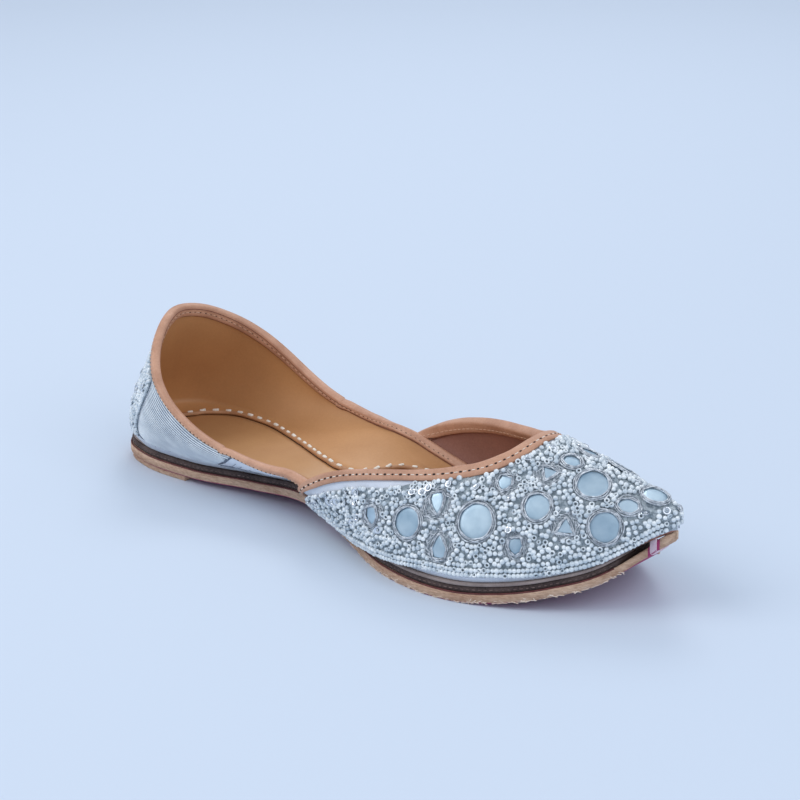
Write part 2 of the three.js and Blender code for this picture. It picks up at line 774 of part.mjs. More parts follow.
const layers = [
  { name: 'heel_lift', look: leatherRaw, inset: heelLiftInset, from: heelLiftStart, to: heelLiftEnd,
    bottom: () => 0, top: () => heelLiftThick },
  { name: 'outsole', look: leatherRaw, inset: 0, from: 0, to: outsoleEnd,
    bottom: above(0), top: outsoleTop },
  { name: 'midsole', look: leatherDark, inset: midsoleInset, from: 0, to: midsoleEnd,
    bottom: above(midsoleBase), top: above(midsoleTop) },
  { name: 'insole_board', look: boardGrey, inset: boardInset, from: 0, to: boardEnd,
    bottom: above(boardBase), top: above(boardBase + boardThick) },
  { name: 'insole', look: leatherTan, inset: insoleInset, from: 0, to: insoleEnd,
    bottom: above(stackHeight), top: above(stackHeight + insoleThick) },
];
for (const layer of layers) {
  const { inset, from, to, bottom, top } = layer;
  add(layer.name, soleLayer(inset, from, to, bottom, top), layer.look);
}

const upper = toSolid(quarterShape(0, 0)).add(toSolid(vampShape(0)));
const swollen = toSolid(quarterShape(layerGap, layerGap)).add(toSolid(vampShape(layerGap)));
add('upper', fromSolid(mainBody(upper)), satinWhite);

function addOver(name, geometry, cutter, look) {
  add(name, fromSolid(mainBody(toSolid(geometry).subtract(cutter))), look);
}
addOver('quarter_binding', quarterBinding(0), swollen, bindingRose);
const quarterRoom = toSolid(quarterShape(layerGap, wingClearance)).add(toSolid(quarterBinding(layerGap)));
addOver('vamp_binding', vampBinding(), swollen.add(quarterRoom), bindingRose);
addOver('vamp_beadwork', beadworkShape(), swollen, beadWhite);
addOver('heel_beadwork', heelStripShape(), swollen, beadWhite);

// Origin at the middle of the underside
const box = new THREE.Box3().setFromObject(shoe);
const middle = box.getCenter(new THREE.Vector3());
shoe.position.set(-middle.x, -middle.y, -box.min.z);
const part = new THREE.Group();
part.add(shoe);
export default part;
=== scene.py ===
import itertools
import math
import bmesh
import bpy
import numpy as np
from mathutils import Matrix, Vector
from mathutils.kdtree import KDTree


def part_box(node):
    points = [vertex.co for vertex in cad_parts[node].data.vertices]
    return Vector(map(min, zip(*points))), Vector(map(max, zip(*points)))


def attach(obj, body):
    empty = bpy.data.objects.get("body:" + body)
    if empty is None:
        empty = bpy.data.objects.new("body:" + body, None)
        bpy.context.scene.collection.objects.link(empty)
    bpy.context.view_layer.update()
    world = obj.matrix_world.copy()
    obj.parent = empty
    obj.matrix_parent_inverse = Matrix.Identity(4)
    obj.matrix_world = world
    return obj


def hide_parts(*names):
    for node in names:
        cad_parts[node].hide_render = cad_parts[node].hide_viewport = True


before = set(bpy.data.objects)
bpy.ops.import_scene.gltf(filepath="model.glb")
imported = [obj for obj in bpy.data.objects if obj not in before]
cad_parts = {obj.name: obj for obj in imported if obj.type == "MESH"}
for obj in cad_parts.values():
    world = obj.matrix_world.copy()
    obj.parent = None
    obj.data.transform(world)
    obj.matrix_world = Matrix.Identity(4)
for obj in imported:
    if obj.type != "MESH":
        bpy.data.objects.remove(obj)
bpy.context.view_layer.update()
print("frame loaded")


# The last: where each rib of the upper stands, in millimetres from the heel's back edge
def table(names, rows):
    return dict(zip(names.split(), np.array(rows, float).T))


centre = table("along aside", [
    (0, 0), (60, 0), (125, -2), (190, -4.5), (232, -1.4), (254, 0)])
profile = table("along lift", [
    (0, 2.9), (12, 2.3), (45, 2.3), (75, 3.6), (98, 5.4), (122, 3), (146, 0), (186, 0),
    (204, 1.6), (220, 5.2), (235, 11.3), (243, 18.4), (246.5, 21.6), (250, 24)])
sole = table("along near far", [
    (0, 0, 0), (0.9, 9, 9.4), (6.6, 18.2, 18.8), (18.8, 23.7, 24.4), (43.8, 25, 26),
    (73.4, 20.6, 20.4), (103.8, 20.4, 20), (133.4, 29.6, 28.8), (158.4, 39, 35.8),
    (178.9, 41, 38.8), (199.2, 37, 36), (219.5, 28, 27.9), (232, 18.5, 18.5),
    (239.5, 8.6, 8.6), (242.5, 4.4, 4.4), (246.5, 4.3, 4.3), (249.4, 3.6, 3.6), (250, 1.6, 1.6)])
rib = table("along near far top nearHalf farHalf high outLow upLow outHigh downHigh sink", [
    (1.2, 0, 0, 17, 0, 0, 59, 2.5, 14, 3, 16, 0),
    (2.1, 8.5, 8.9, 19.5, 10, 11, 57.2, 2.5, 14, 3, 16, 0),
    (7.8, 17, 17.6, 26, 22, 23.5, 50.8, 3, 13, 3.5, 14, 0),
    (19.4, 22.5, 23.2, 36.8, 32, 32.4, 41.6, 4, 10, 3, 11, 0),
    (44, 23.8, 24.8, 54.8, 35.2, 35.2, 30, 6, 6, 2, 8, 0),
    (73.4, 19.4, 19.2, 76, 34, 34, 23.6, 8, 3, 2, 5, 0),
    (98, 19, 18.6, 97, 33, 33, 23, 7, 3, 1.5, 5, 0),
    (118, 23.6, 22.6, 115.5, 34.4, 34.4, 27, 10.5, 2.5, 1.5, 6, 0),
    (136, 29.8, 28.6, 132, 34, 34, 32, 9.5, 5, 2.5, 7, 0),
    (158.4, 38, 35.2, 152, 27.5, 27.5, 41.6, 6, 11, 6.5, 5, 0),
    (178.9, 39.8, 37.6, 169, 12, 12, 50, 2.5, 14, 13, 2.5, 0),
    (190, 38.2, 36.8, 181, 0, 0, 52.4, 2, 16, 19, 0, 0),
    (199.2, 35.8, 34.8, 191, 0, 0, 51.2, 1.5, 17, 17, 0, 0),
    (209, 32, 31.6, 202, 0, 0, 48.8, 1.5, 17, 15, 0, 0),
    (221, 25.8, 25.8, 217, 0, 0, 45.2, 1.5, 15, 12.5, 0, 0),
    (234, 15.6, 15.6, 233, 0, 0, 41, 1, 11, 9, 0, 0),
    (243, 7.6, 7.6, 243.5, 0, 0, 38.2, 0.8, 7, 5.5, 0, 1.4),
    (249, 3.2, 3.2, 249.6, 0, 0, 36, 0.4, 4, 2.6, 0, 2.4),
    (251.4, 0, 0, 252, 0, 0, 33.6, 0, 2, 0, 0, 2.5)])
quarterEdge = table("along high", [
    (76, 23.6), (86, 22.2), (98, 21.2), (116, 18.8), (130, 14.8), (141, 11.8)])
vampEdge = table("along high", [
    (107.5, 12.5), (109.5, 15.8), (112.5, 19.2), (116, 22.1), (122, 25.8), (131, 29.9), (143, 33.6),
    (155, 36.2), (168, 38.6), (178, 40.9), (185, 43), (190, 45.4), (194, 48.2), (196.5, 51.5)])
stackHeight = 7.6    # top of the sole layers above the outsole's underside


def curveThrough(knots, values, limited=False):
    # smooth curve through a column; limited slopes never overshoot
    knots, values = np.array(knots, float), np.array(values, float)
    gap = np.diff(knots)
    secant = np.diff(values) / gap
    mean = (secant[:-1] * gap[1:] + secant[1:] * gap[:-1]) / (gap[1:] + gap[:-1])
    if limited:
        steepest = 3 * np.minimum(abs(secant[:-1]), abs(secant[1:]))
        mean = np.clip(mean, -steepest, steepest)
        mean[secant[:-1] * secant[1:] <= 0] = 0
    slope = np.concatenate([secant[:1], mean, secant[-1:]])

    def curve(at):
        at = np.asarray(at, float)
        i = np.clip(np.searchsorted(knots, at, side="right") - 1, 0, len(gap) - 1)
        s = np.clip((at - knots[i]) / gap[i], 0, 1)
        rise = s * s * (3 - 2 * s)
        bend = (slope[i] * s * (1 - s) ** 2 + slope[i + 1] * s * s * (s - 1)) * gap[i]
        return values[i] + (values[i + 1] - values[i]) * rise + bend
    return curve


def curveOf(rows, column):
    return curveThrough(rows["along"], rows[column], True)


centreLine = curveThrough(centre["along"], centre["aside"])
soleLift = curveOf(profile, "lift")


def smoothStep(x, low, high):
    s = np.clip((np.asarray(x, float) - low) / (high - low), 0, 1)
    return s * s * (3 - 2 * s)


def unit(v):
    return v / np.maximum(np.linalg.norm(v, axis=-1, keepdims=True), 1e-12)


def halved(before, low, high, rounds=40):
    # narrows a span down to the place where before() turns false
    for _ in range(rounds):
        middle = (low + high) / 2
        early = before(middle)
        low, high = np.where(early, middle, low), np.where(early, high, middle)
    return low


def walkAlong(rows):
    # distance from the heel to each row of an outline, midway between its two sides
    wide = (rows["near"] + rows["far"]) / 2
    return np.concatenate([[0], np.cumsum(np.hypot(np.diff(rows["along"]), np.diff(wide)))])


def bothSides(rows, nearValues, farValues, limited=False):
    # minus distances walk to the toe on the near side, plus on the far side
    walk = walkAlong(rows)
    knots = np.concatenate([-walk[:0:-1], walk])
    return curveThrough(knots, np.concatenate([nearValues[:0:-1], farValues]), limited)


class Outline:
    def __init__(self, rows):
        self.x = bothSides(rows, rows["along"], rows["along"])
        self.aside = bothSides(rows, -rows["near"], rows["far"])
        self.reach = walkAlong(rows)[-1]

    def point(self, at):
        x = self.x(at)
        return np.stack([x, centreLine(x) + self.aside(at)], -1)

    def outward(self, at):
        back = self.point(np.maximum(at - 0.05, -self.reach))
        front = self.point(np.minimum(at + 0.05, self.reach))
        run = front - back
        return unit(np.stack([-run[..., 1], run[..., 0]], -1))

    def distanceAt(self, along):
        return halved(lambda at: self.x(at) < along, 0.0, self.reach)


soleEdge = Outline(sole)
footEdge = Outline(rib)
ribTop = bothSides(rib, rib["top"], rib["top"])
ribHigh = bothSides(rib, rib["high"], rib["high"])
ribHalf = bothSides(rib, -rib["nearHalf"], rib["farHalf"], True)
ribControl = {name: bothSides(rib, rib[name], rib[name], True)
              for name in ("outLow", "upLow", "outHigh", "downHigh", "sink")}


def lastPoint(at, up):
    # point of the last: distance along the foot edge, and 0 to 1 up the rib
    at, up = np.broadcast_arrays(np.asarray(at, float), np.asarray(up, float))
    foot, out = footEdge.point(at), footEdge.outward(at)
    side = np.stack([np.zeros_like(at), np.where(at < 0, -1.0, 1.0)], -1)
    lean = unit(out + (side - out) * smoothStep(foot[..., 0], 30, 90)[..., None])
    footZ = soleLift(foot[..., 0]) + stackHeight - ribControl["sink"](at)
    topX = ribTop(at)
    top = np.stack([topX, centreLine(topX) + ribHalf(at)], -1)
    low = foot + out * ribControl["outLow"](at)[..., None]
    high = top + lean * ribControl["outHigh"](at)[..., None]
    topZ = ribHigh(at)
    heights = (footZ, footZ + ribControl["upLow"](at), topZ - ribControl["downHigh"](at), topZ)
    weights = ((1 - up) ** 3, 3 * up * (1 - up) ** 2, 3 * up * up * (1 - up), up ** 3)
    total = np.zeros(at.shape + (3,))
    for plan, z, weight in zip((foot, low, high, top), heights, weights):
        total += np.concatenate([plan, z[..., None]], -1) * weight[..., None]
    return total


def lastNormal(at, up):
    at, up = np.broadcast_arrays(np.asarray(at, float), np.asarray(up, float))
    limit = footEdge.reach - 0.1
    tip = abs(at) > limit
    spot = np.where(tip, limit, at)
    back = lastPoint(np.maximum(spot - 0.3, -limit), up)
    front = lastPoint(np.minimum(spot + 0.3, limit), up)
    below = lastPoint(spot, np.maximum(np.minimum(up, 1) - 0.01, 0))
    above = lastPoint(spot, np.minimum(up + 0.01, 1))
    normal = -np.cross(front - back, above - below)
    normal[tip, 1] = 0
    ridge = (up > 0.9999) & (abs(at) > footEdge.reach / 2) & (abs(ribHalf(at)) < 1e-6) & ~tip
    toe = np.where(front[..., 0] > back[..., 0], 1.0, -1.0)
    flat = np.stack([(back - front)[..., 2] * toe, 0 * toe, (front - back)[..., 0] * toe], -1)
    return unit(np.where(ridge[..., None], flat, normal))


def offPoint(at, up, out):
    spots = lastPoint(at, up)
    return spots + lastNormal(at, up) * np.broadcast_to(out, spots.shape[:-1])[..., None]


def reachOf(at, edge):
    # how far up its rib a topline crosses it
    at = np.asarray(at, float)
    height = curveOf(edge, "high")

    def under(up):
        point = lastPoint(at, up)
        return point[..., 2] < height(point[..., 0])
    whole = (footEdge.x(at) < edge["along"][0] - 8) | under(1.0)
    return np.where(whole, 1.0, halved(under, 0.0, 1.0, 26))


def apexOf(edge):
    # distance along the foot edge at which a topline runs into the ridge
    height = curveOf(edge, "high")

    def over(at):
        top = lastPoint(at, 1.0)
        return top[..., 2] > height(top[..., 0])
    return halved(over, footEdge.distanceAt(190), footEdge.distanceAt(232))


def ribLength(at):
    levels = np.linspace(0, 1, 13)
    spots = lastPoint(np.asarray(at, float)[..., None], levels)
    return np.linalg.norm(np.diff(spots, axis=-2), axis=-1).sum(-1)

# From the last's millimetres to the frame's metres: the outsole's corners are the same in both
soleRun = np.linspace(0, soleEdge.distanceAt(250), 41)
soleCorners = np.concatenate([soleEdge.point(soleRun), soleEdge.point(-soleRun)])
shift = np.append(np.array(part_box("outsole")[0][:2]) * 1000 - soleCorners.min(0), 0.0)


def toFrame(points):
    return (np.asarray(points, float) + shift) / 1000


def withHeight(plan, height):
    return np.concatenate([plan, np.broadcast_to(height, len(plan))[:, None]], -1)


def onSole(plan, height):
    return withHeight(plan, soleLift(plan[:, 0]) + height)


def walkOf(path):
    # length walked to each point of a path
    return np.concatenate([[0], np.cumsum(np.linalg.norm(np.diff(path, axis=0), axis=1))])


def alongPath(path, places, step):
    # points at distances along a path, and directions to a short step further on
    walk = walkOf(path)
    spots, ahead = (np.stack([np.interp(at, walk, path[:, k]) for k in range(3)], -1)
                    for at in (places, places + step))
    return spots, unit(ahead - spots + 1e-9)


def eitherSide(chance, low, high, count):
    # random distances along both sides of an outline
    return chance.uniform(low, high, count) * chance.choice([-1, 1], count)


def linked(data, name):
    item = bpy.data.objects.new(name, data)
    bpy.context.collection.objects.link(item)
    return item


def finishPiece(piece, nodes=()):
    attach(piece, "root")
    if nodes:
        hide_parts(*nodes)
    return piece


def smoothed(work, mesh):
    work.to_mesh(mesh)
    work.free()
    mesh.polygons.foreach_set("use_smooth", np.ones(len(mesh.polygons), bool))
    mesh.update()


def meshPiece(name, points, faces, finish, slot, *nodes, faceFinish=None):
    # finish names one material, or several with their numbers per face
    mesh = bpy.data.meshes.new(name)
    mesh.from_pydata(toFrame(points).tolist(), [], [list(map(int, face)) for face in faces])
    for word in finish.split():
        mesh.materials.append(finishes[word])
    if faceFinish is not None:
        mesh.polygons.foreach_set("material_index", np.asarray(faceFinish, np.int32))
    work = bmesh.new()
    work.from_mesh(mesh)
    bmesh.ops.remove_doubles(work, verts=work.verts, dist=2e-6)
    bmesh.ops.recalc_face_normals(work, faces=work.faces)
    smoothed(work, mesh)
    return finishPiece(linked(mesh, name), nodes)


def ringFaces(count, size, joined=False):
    # quads between rings of points; joined also closes the last ring to the first
    i, k = np.meshgrid(np.arange(count if joined else count - 1), np.arange(size), indexing="ij")
    i, k = i.ravel(), k.ravel()
    ahead, onward = (i + 1) % count, (k + 1) % size
    return np.stack([i * size + k, ahead * size + k, ahead * size + onward, i * size + onward], -1)


def ringsPiece(name, bands, finish, slot, *nodes, ends="capped", faceFinish=None):
    # one mesh from bands of rings, whose ends are capped, open or joined to each other
    points, faces, start = [], [], 0
    for rings in bands:
        count, size = rings.shape[:2]
        points.append(rings.reshape(-1, 3))
        faces += (ringFaces(count, size, ends == "joined") + start).tolist()
        if ends == "capped":
            faces += [list(range(first, first + size)) for first in (start, start + (count - 1) * size)]
        start += count * size
    return meshPiece(name, np.concatenate(points), faces, finish, slot, *nodes, faceFinish=faceFinish)


def tubeRings(path, normals, radius, sides=6, squash=1.0, joined=False):
    # round rings about a path; squash flattens them along the normals
    tangent = unit(np.roll(path, -1, 0) - np.roll(path, 1, 0) if joined else np.gradient(path, axis=0))
    side = unit(np.cross(tangent, normals))
    lift = np.cross(side, tangent)
    turn = np.linspace(0, 2 * np.pi, sides, endpoint=False)[None, :, None]
    around = side[:, None] * np.cos(turn) + lift[:, None] * (squash * np.sin(turn))
    return path[:, None] + around * np.broadcast_to(radius, len(path))[:, None, None]


# Node trees
def nodeIn(tree, kind, inputs=(), **settings):
    # adds a node; an input is a value or another node's output
    node = tree.nodes.new(kind)
    for name, value in settings.items():
        setattr(node, name, value)
    for key, value in dict(inputs).items():
        if isinstance(value, bpy.types.NodeSocket):
            tree.links.new(value, node.inputs[key])
        else:
            node.inputs[key].default_value = value
    return node


def newGroup(name, kind, given, made):
    # named inputs and outputs, each with its kind of socket
    tree = bpy.data.node_groups.new(name, kind)
    for way, sockets in (("INPUT", given), ("OUTPUT", made)):
        for label, socket in sockets.items():
            tree.interface.new_socket(label, in_out=way, socket_type="NodeSocket" + socket)
    return tree, tree.nodes.new("NodeGroupInput").outputs, tree.nodes.new("NodeGroupOutput").inputs


def sprinkleTree():
    # sets a shape on each point, turned by "turn" and stretched by "stretch"
    tree, given, made = newGroup("sprinkle", "GeometryNodeTree", {
        "Geometry": "Geometry", "Shape": "Object", "Size": "Float", "Spread": "Float", "Seed": "Int",
        "Finish": "Material"}, {"Geometry": "Geometry"})
    shape = nodeIn(tree, "GeometryNodeObjectInfo", {"Object": given["Shape"]})
    turn, stretch = (nodeIn(tree, "GeometryNodeInputNamedAttribute", {"Name": name}, data_type="FLOAT_VECTOR")
                     for name in ("turn", "stretch"))
    low, high = (nodeIn(tree, "ShaderNodeMath", {0: 1.0, 1: given["Spread"]}, operation=kind)
                 for kind in ("SUBTRACT", "ADD"))
    chance = nodeIn(tree, "FunctionNodeRandomValue", {
        2: low.outputs[0], 3: high.outputs[0], "Seed": given["Seed"]})
    scaled = nodeIn(tree, "ShaderNodeMath", {0: given["Size"], 1: chance.outputs[1]}, operation="MULTIPLY")
    size = nodeIn(tree, "ShaderNodeVectorMath", {
        0: stretch.outputs["Attribute"], "Scale": scaled.outputs[0]}, operation="SCALE")
    euler = nodeIn(tree, "FunctionNodeEulerToRotation", {0: turn.outputs["Attribute"]})
    spread = nodeIn(tree, "GeometryNodeInstanceOnPoints", {
        "Points": given["Geometry"], "Instance": shape.outputs["Geometry"], "Rotation": euler.outputs[0],
        "Scale": size.outputs["Vector"]})
    real = nodeIn(tree, "GeometryNodeRealizeInstances", {"Geometry": spread.outputs["Instances"]})
    paint = nodeIn(tree, "GeometryNodeSetMaterial", {
        "Geometry": real.outputs["Geometry"], "Material": given["Finish"]})
    tree.links.new(paint.outputs["Geometry"], made["Geometry"])
    return tree


sprinkleNodes = sprinkleTree()


def sprinkle(name, slot, points, run, normals, shape, finish, seed, spread, size=1.0, stretch=1.0):
    # a shape in millimetres on each point, its X along run and its Z along the normal
    run = unit(run - normals * (run * normals).sum(-1, keepdims=True))
    axes = np.stack([run, np.cross(normals, run), normals], -1)
    turns = np.array([list(Matrix(rows).to_euler()) for rows in axes.tolist()])
    mesh = bpy.data.meshes.new(name)
    mesh.from_pydata(toFrame(points).tolist(), [], [])
    for label, vectors in (("turn", turns), ("stretch", np.broadcast_to(stretch, (len(points), 3)))):
        column = mesh.attributes.new(label, "FLOAT_VECTOR", "POINT")
        column.data.foreach_set("vector", vectors.astype(float).ravel())
    cloud = linked(mesh, name + "_points")
    maker = cloud.modifiers.new("sprinkle", "NODES")
    maker.node_group = sprinkleNodes
    values = {"Shape": shape, "Size": size / 1000, "Spread": spread, "Seed": seed, "Finish": finishes[finish]}
    for item in sprinkleNodes.interface.items_tree:
        if item.in_out == "INPUT" and item.name in values:
            maker[item.identifier] = values[item.name]
    bpy.context.view_layer.update()
    depsgraph = bpy.context.evaluated_depsgraph_get()
    result = bpy.data.meshes.new_from_object(cloud.evaluated_get(depsgraph))
    result.name = name
    bpy.data.objects.remove(cloud)
    return finishPiece(linked(result, name))


# Finishes
def grainGroup():
    # mottled colour with fine grain: colour, height for a bump, and a mask for roughness
    tree, given, made = newGroup("grain", "ShaderNodeTree", {
        "Light": "Color", "Dark": "Color", "Patch Scale": "Float", "Patch": "Float", "Grain Scale": "Float",
        "Grain": "Float", "Stretch": "Vector"}, {"Color": "Color", "Height": "Float", "Mask": "Float"})
    where = nodeIn(tree, "ShaderNodeTexCoord")
    drawn = nodeIn(tree, "ShaderNodeVectorMath", {0: where.outputs["Object"], 1: given["Stretch"]},
                   operation="MULTIPLY")
    parts = []
    for word, settings in (("Patch", {"Detail": 3}), ("Grain", {"Detail": 6, "Roughness": 0.65})):
        noise = nodeIn(tree, "ShaderNodeTexNoise", {
            "Vector": drawn.outputs[0], "Scale": given[word + " Scale"], **settings})
        clear = nodeIn(tree, "ShaderNodeMapRange", {
            "Value": noise.outputs["Fac"], "From Min": 0.35, "From Max": 0.65})
        parts.append(nodeIn(tree, "ShaderNodeMath", {0: clear.outputs["Result"], 1: given[word]},
                            operation="MULTIPLY").outputs[0])
    both = nodeIn(tree, "ShaderNodeMath", dict(enumerate(parts)), operation="ADD", use_clamp=True)
    mix = nodeIn(tree, "ShaderNodeMix", {
        "Factor": both.outputs[0], "A": given["Light"], "B": given["Dark"]}, data_type="RGBA")
    tree.links.new(mix.outputs["Result"], made["Color"])
    tree.links.new(noise.outputs["Fac"], made["Height"])
    tree.links.new(both.outputs[0], made["Mask"])
    return tree


grainNodes = grainGroup()


def tint(r, g, b):
    # 0 to 255 as the eye sees it, to the shader's linear values
    return tuple(((c / 255 + 0.055) / 1.055) ** 2.4 if c > 10 else c / 3295 for c in (r, g, b)) + (1,)


def newMaterial(name):
    material = bpy.data.materials.new(name)
    material.use_nodes = True
    return material, material.node_tree.nodes["Principled BSDF"]


def newFinish(name, light, dark, rough, patch, grain, bump):
    material, shader = newMaterial(name)
    tree = material.node_tree
    extra = finishExtras.get(name, {})
    mottle = nodeIn(tree, "ShaderNodeGroup", node_tree=grainNodes)
    values = (tint(*light), tint(*dark), *patch, *grain, extra.get("stretch", (1, 1, 1)))
    for socket, value in zip(mottle.inputs, values):
        socket.default_value = value
    relief = nodeIn(tree, "ShaderNodeBump", {
        "Strength": bump, "Distance": extra.get("depth", 0.0003), "Height": mottle.outputs["Height"]})
    spread = nodeIn(tree, "ShaderNodeMapRange", {
        "Value": mottle.outputs["Mask"], "To Min": rough[0], "To Max": rough[1]})
    tree.links.new(mottle.outputs["Color"], shader.inputs["Base Color"])
    tree.links.new(spread.outputs["Result"], shader.inputs["Roughness"])
    tree.links.new(relief.outputs["Normal"], shader.inputs["Normal"])
    for label, value in extra.get("shader", {}).items():
        shader.inputs[label].default_value = value
    return material


finishExtras = {
    "rawLeather": {"stretch": (0.45, 0.45, 1.8), "depth": 0.0007},
    "darkWelt": {"depth": 0.0005},
    "insoleLeather": {"shader": {"Coat Weight": 0.1, "Coat Roughness": 0.4}},
    "bindingLeather": {"depth": 0.0004, "shader": {"Coat Weight": 0.08, "Coat Roughness": 0.4}},
    "satin": {"depth": 0.0002, "shader": {"Sheen Weight": 0.3}},
    "silverThread": {"shader": {"Metallic": 0.5}},
    "couchedSilver": {"shader": {"Metallic": 0.2}},
    "threadGround": {"depth": 0.0009, "shader": {"Metallic": 0.3}},
    "glassBead": {"shader": {"Coat Weight": 0.6, "Coat Roughness": 0.06, "Specular IOR Level": 0.7}},
    "strokeThread": {"shader": {"Metallic": 0.3}},
    "sequin": {"shader": {"Metallic": 0.9}},
    "mirror": {"shader": {"Metallic": 0.85}}}
# light and dark colour, least and most rough, scale and amount of the patches and of the grain, bump
finishes = {name: newFinish(name, *look) for name, look in {
    "rawLeather": ((232, 200, 172), (170, 130, 106), (0.7, 0.95), (90, 0.55), (1100, 0.5), 0.9),
    "darkWelt": ((92, 72, 66), (44, 32, 32), (0.55, 0.85), (120, 0.5), (1600, 0.5), 0.6),
    "boardEdge": ((168, 152, 146), (112, 98, 95), (0.6, 0.9), (140, 0.5), (1500, 0.3), 0.4),
    "insoleLeather": ((194, 146, 97), (166, 115, 72), (0.42, 0.6), (22, 0.5), (1100, 0.12), 0.12),
    "quarterLining": ((199, 146, 95), (170, 119, 73), (0.5, 0.7), (26, 0.55), (1000, 0.15), 0.15),
    "vampLining": ((158, 108, 92), (124, 83, 71), (0.6, 0.8), (50, 0.5), (1200, 0.3), 0.25),
    "bindingLeather": ((209, 160, 131), (168, 119, 92), (0.42, 0.62), (110, 0.5), (1300, 0.3), 0.35),
    "marginLeather": ((196, 146, 104), (150, 104, 72), (0.5, 0.75), (90, 0.5), (1200, 0.3), 0.3),
    "satin": ((226, 232, 242), (196, 206, 222), (0.42, 0.6), (90, 0.35), (2600, 0.35), 0.25),
    "silverThread": ((238, 243, 248), (122, 132, 144), (0.28, 0.5), (700, 0.7), (3000, 0.3), 0.4),
    "couchedSilver": ((228, 236, 242), (186, 198, 210), (0.3, 0.5), (160, 0.5), (2400, 0.15), 0.15),
    # painted shade: the darker sheet that shows between the quarter's silver lines
    "quarterLineShade": ((112, 122, 138), (78, 88, 104), (0.5, 0.7), (200, 0.5), (2000, 0.3), 0.3),
    "threadGround": ((224, 234, 239), (146, 160, 170), (0.35, 0.65), (650, 0.8), (1700, 0.5), 1.0),
    "glassBead": ((246, 251, 253), (174, 190, 202), (0.1, 0.2), (280, 0.8), (900, 0.1), 0.0),
    "strokeThread": ((166, 176, 190), (122, 132, 148), (0.35, 0.55), (300, 0.5), (2600, 0.3), 0.3),
    "paleFibre": ((240, 226, 212), (206, 178, 156), (0.8, 0.95), (300, 0.6), (2600, 0.3), 0.3),
    "sequin": ((236, 240, 246), (176, 186, 198), (0.08, 0.2), (700, 0.5), (900, 0.1), 0.1),
    "mirror": ((196, 216, 228), (150, 176, 194), (0.4, 0.52), (90, 0.9), (700, 0.1), 0.04),
    "cotton": ((250, 246, 236), (214, 200, 180), (0.7, 0.9), (400, 0.4), (3000, 0.4), 0.5),
    "pinhole": ((48, 32, 28), (26, 18, 16), (0.8, 0.95), (300, 0.4), (1500, 0.3), 0.1),
    "bindingThread": ((226, 190, 160), (186, 144, 116), (0.6, 0.85), (300, 0.4), (3000, 0.4), 0.5),
    # painted shade for the dark lines along the bindings' edges and the collar's crest
    "foldShade": ((146, 98, 76), (104, 64, 50), (0.7, 0.9), (300, 0.5), (2000, 0.3), 0.2),
    "redThread": ((122, 66, 62), (80, 40, 42), (0.7, 0.9), (300, 0.5), (3000, 0.4), 0.5),
    "weltThread": ((132, 112, 104), (84, 66, 62), (0.7, 0.9), (300, 0.5), (3000, 0.4), 0.5),
    "dyedLeather": ((190, 70, 122), (132, 44, 84), (0.7, 0.9), (90, 0.5), (1500, 0.4), 0.4),
    "dyedThread": ((240, 222, 230), (214, 176, 196), (0.6, 0.8), (300, 0.4), (3000, 0.4), 0.5),
}.items()}
print("finishes made")


# Sole layers
soleLook = {"across": 14, "stations": 260, "neck": (242.5, 247), "facesDown": -0.7,
            "facesAside": 0.8}


def evenInset(inset):
    return lambda at: np.full(len(at), float(inset))


def boardInset(at):
    # the board is drawn in under the quarter and shows under the vamp
    return 1.3 - 1.1 * smoothStep(soleEdge.x(at), 106, 140)


def above(height, follow=1):
    # a height over the sole's underside, or over the floor
    return lambda x: soleLift(x) * follow + height


def outsoleTop(x):
    return soleLift(x) + 3.4 + 0.8 * smoothStep(x, 242, 244.5) - 0.7 * smoothStep(x, 248.6, 250.4)


def outsoleUnder(x):
    return soleLift(x) + 0.8 * smoothStep(x, 248.8, 250.4)


# How far in from the foot edge the rolled margin lies: wide at the back, widest at the far side of the waist
marginRows = table("along near far", [
    (0, 11, 11), (7, 10.6, 11), (14, 8, 8.6), (24, 5, 5.6), (33, 3.6, 4.6), (57, 1.4, 5.7), (68, 0.8, 7.4),
    (82, 0.5, 12.2), (93, 0.4, 17.6), (101, 0.4, 21), (106, 0.5, 20.6), (110, 0.7, 15), (114.5, 1, 7),
    (119, 1.5, 3.8), (126, 2.5, 3.2), (140, 4, 4), (158, 5.2, 5.2), (252, 5.2, 5.2)])
marginNear, marginFar = curveOf(marginRows, "near"), curveOf(marginRows, "far")


def marginIn(at):
    x = footEdge.x(at)
    return np.where(at < 0, marginNear(x), marginFar(x))


def layerPiece(name, inset, span, bottom, top, rounding, edge, *looks):
    # a layer with rounded edges, its inset running in from an outline
    at = np.linspace(edge.distanceAt(span[0]), edge.distanceAt(span[1]), soleLook["stations"])
    plan = {}
    for side in (-1, 1):
        out = edge.outward(side * at)
        for depth in (0, rounding):
            plan[side, depth] = edge.point(side * at) - out * (inset(side * at) + depth)[:, None]
    low, high = bottom(plan[1, 0][:, 0]), top(plan[1, 0][:, 0])
    wall = [(0, low + rounding), (0, (low + high) / 2), (0, high - rounding)]
    wall = [(rounding, low)] + wall + [(rounding, high)]
    shares = np.linspace(0, 1, soleLook["across"])[1:-1]

    def across(shares, z):
        near, far = plan[-1, rounding], plan[1, rounding]
        return [withHeight(near * (1 - share) + far * share, z) for share in shares]
    ring = [withHeight(plan[-1, depth], z) for depth, z in wall] + across(shares, high)
    ring += [withHeight(plan[1, depth], z) for depth, z in wall[::-1]] + across(shares[::-1], low)
    return ringsPiece(name, [np.stack(ring, 1)], *looks)


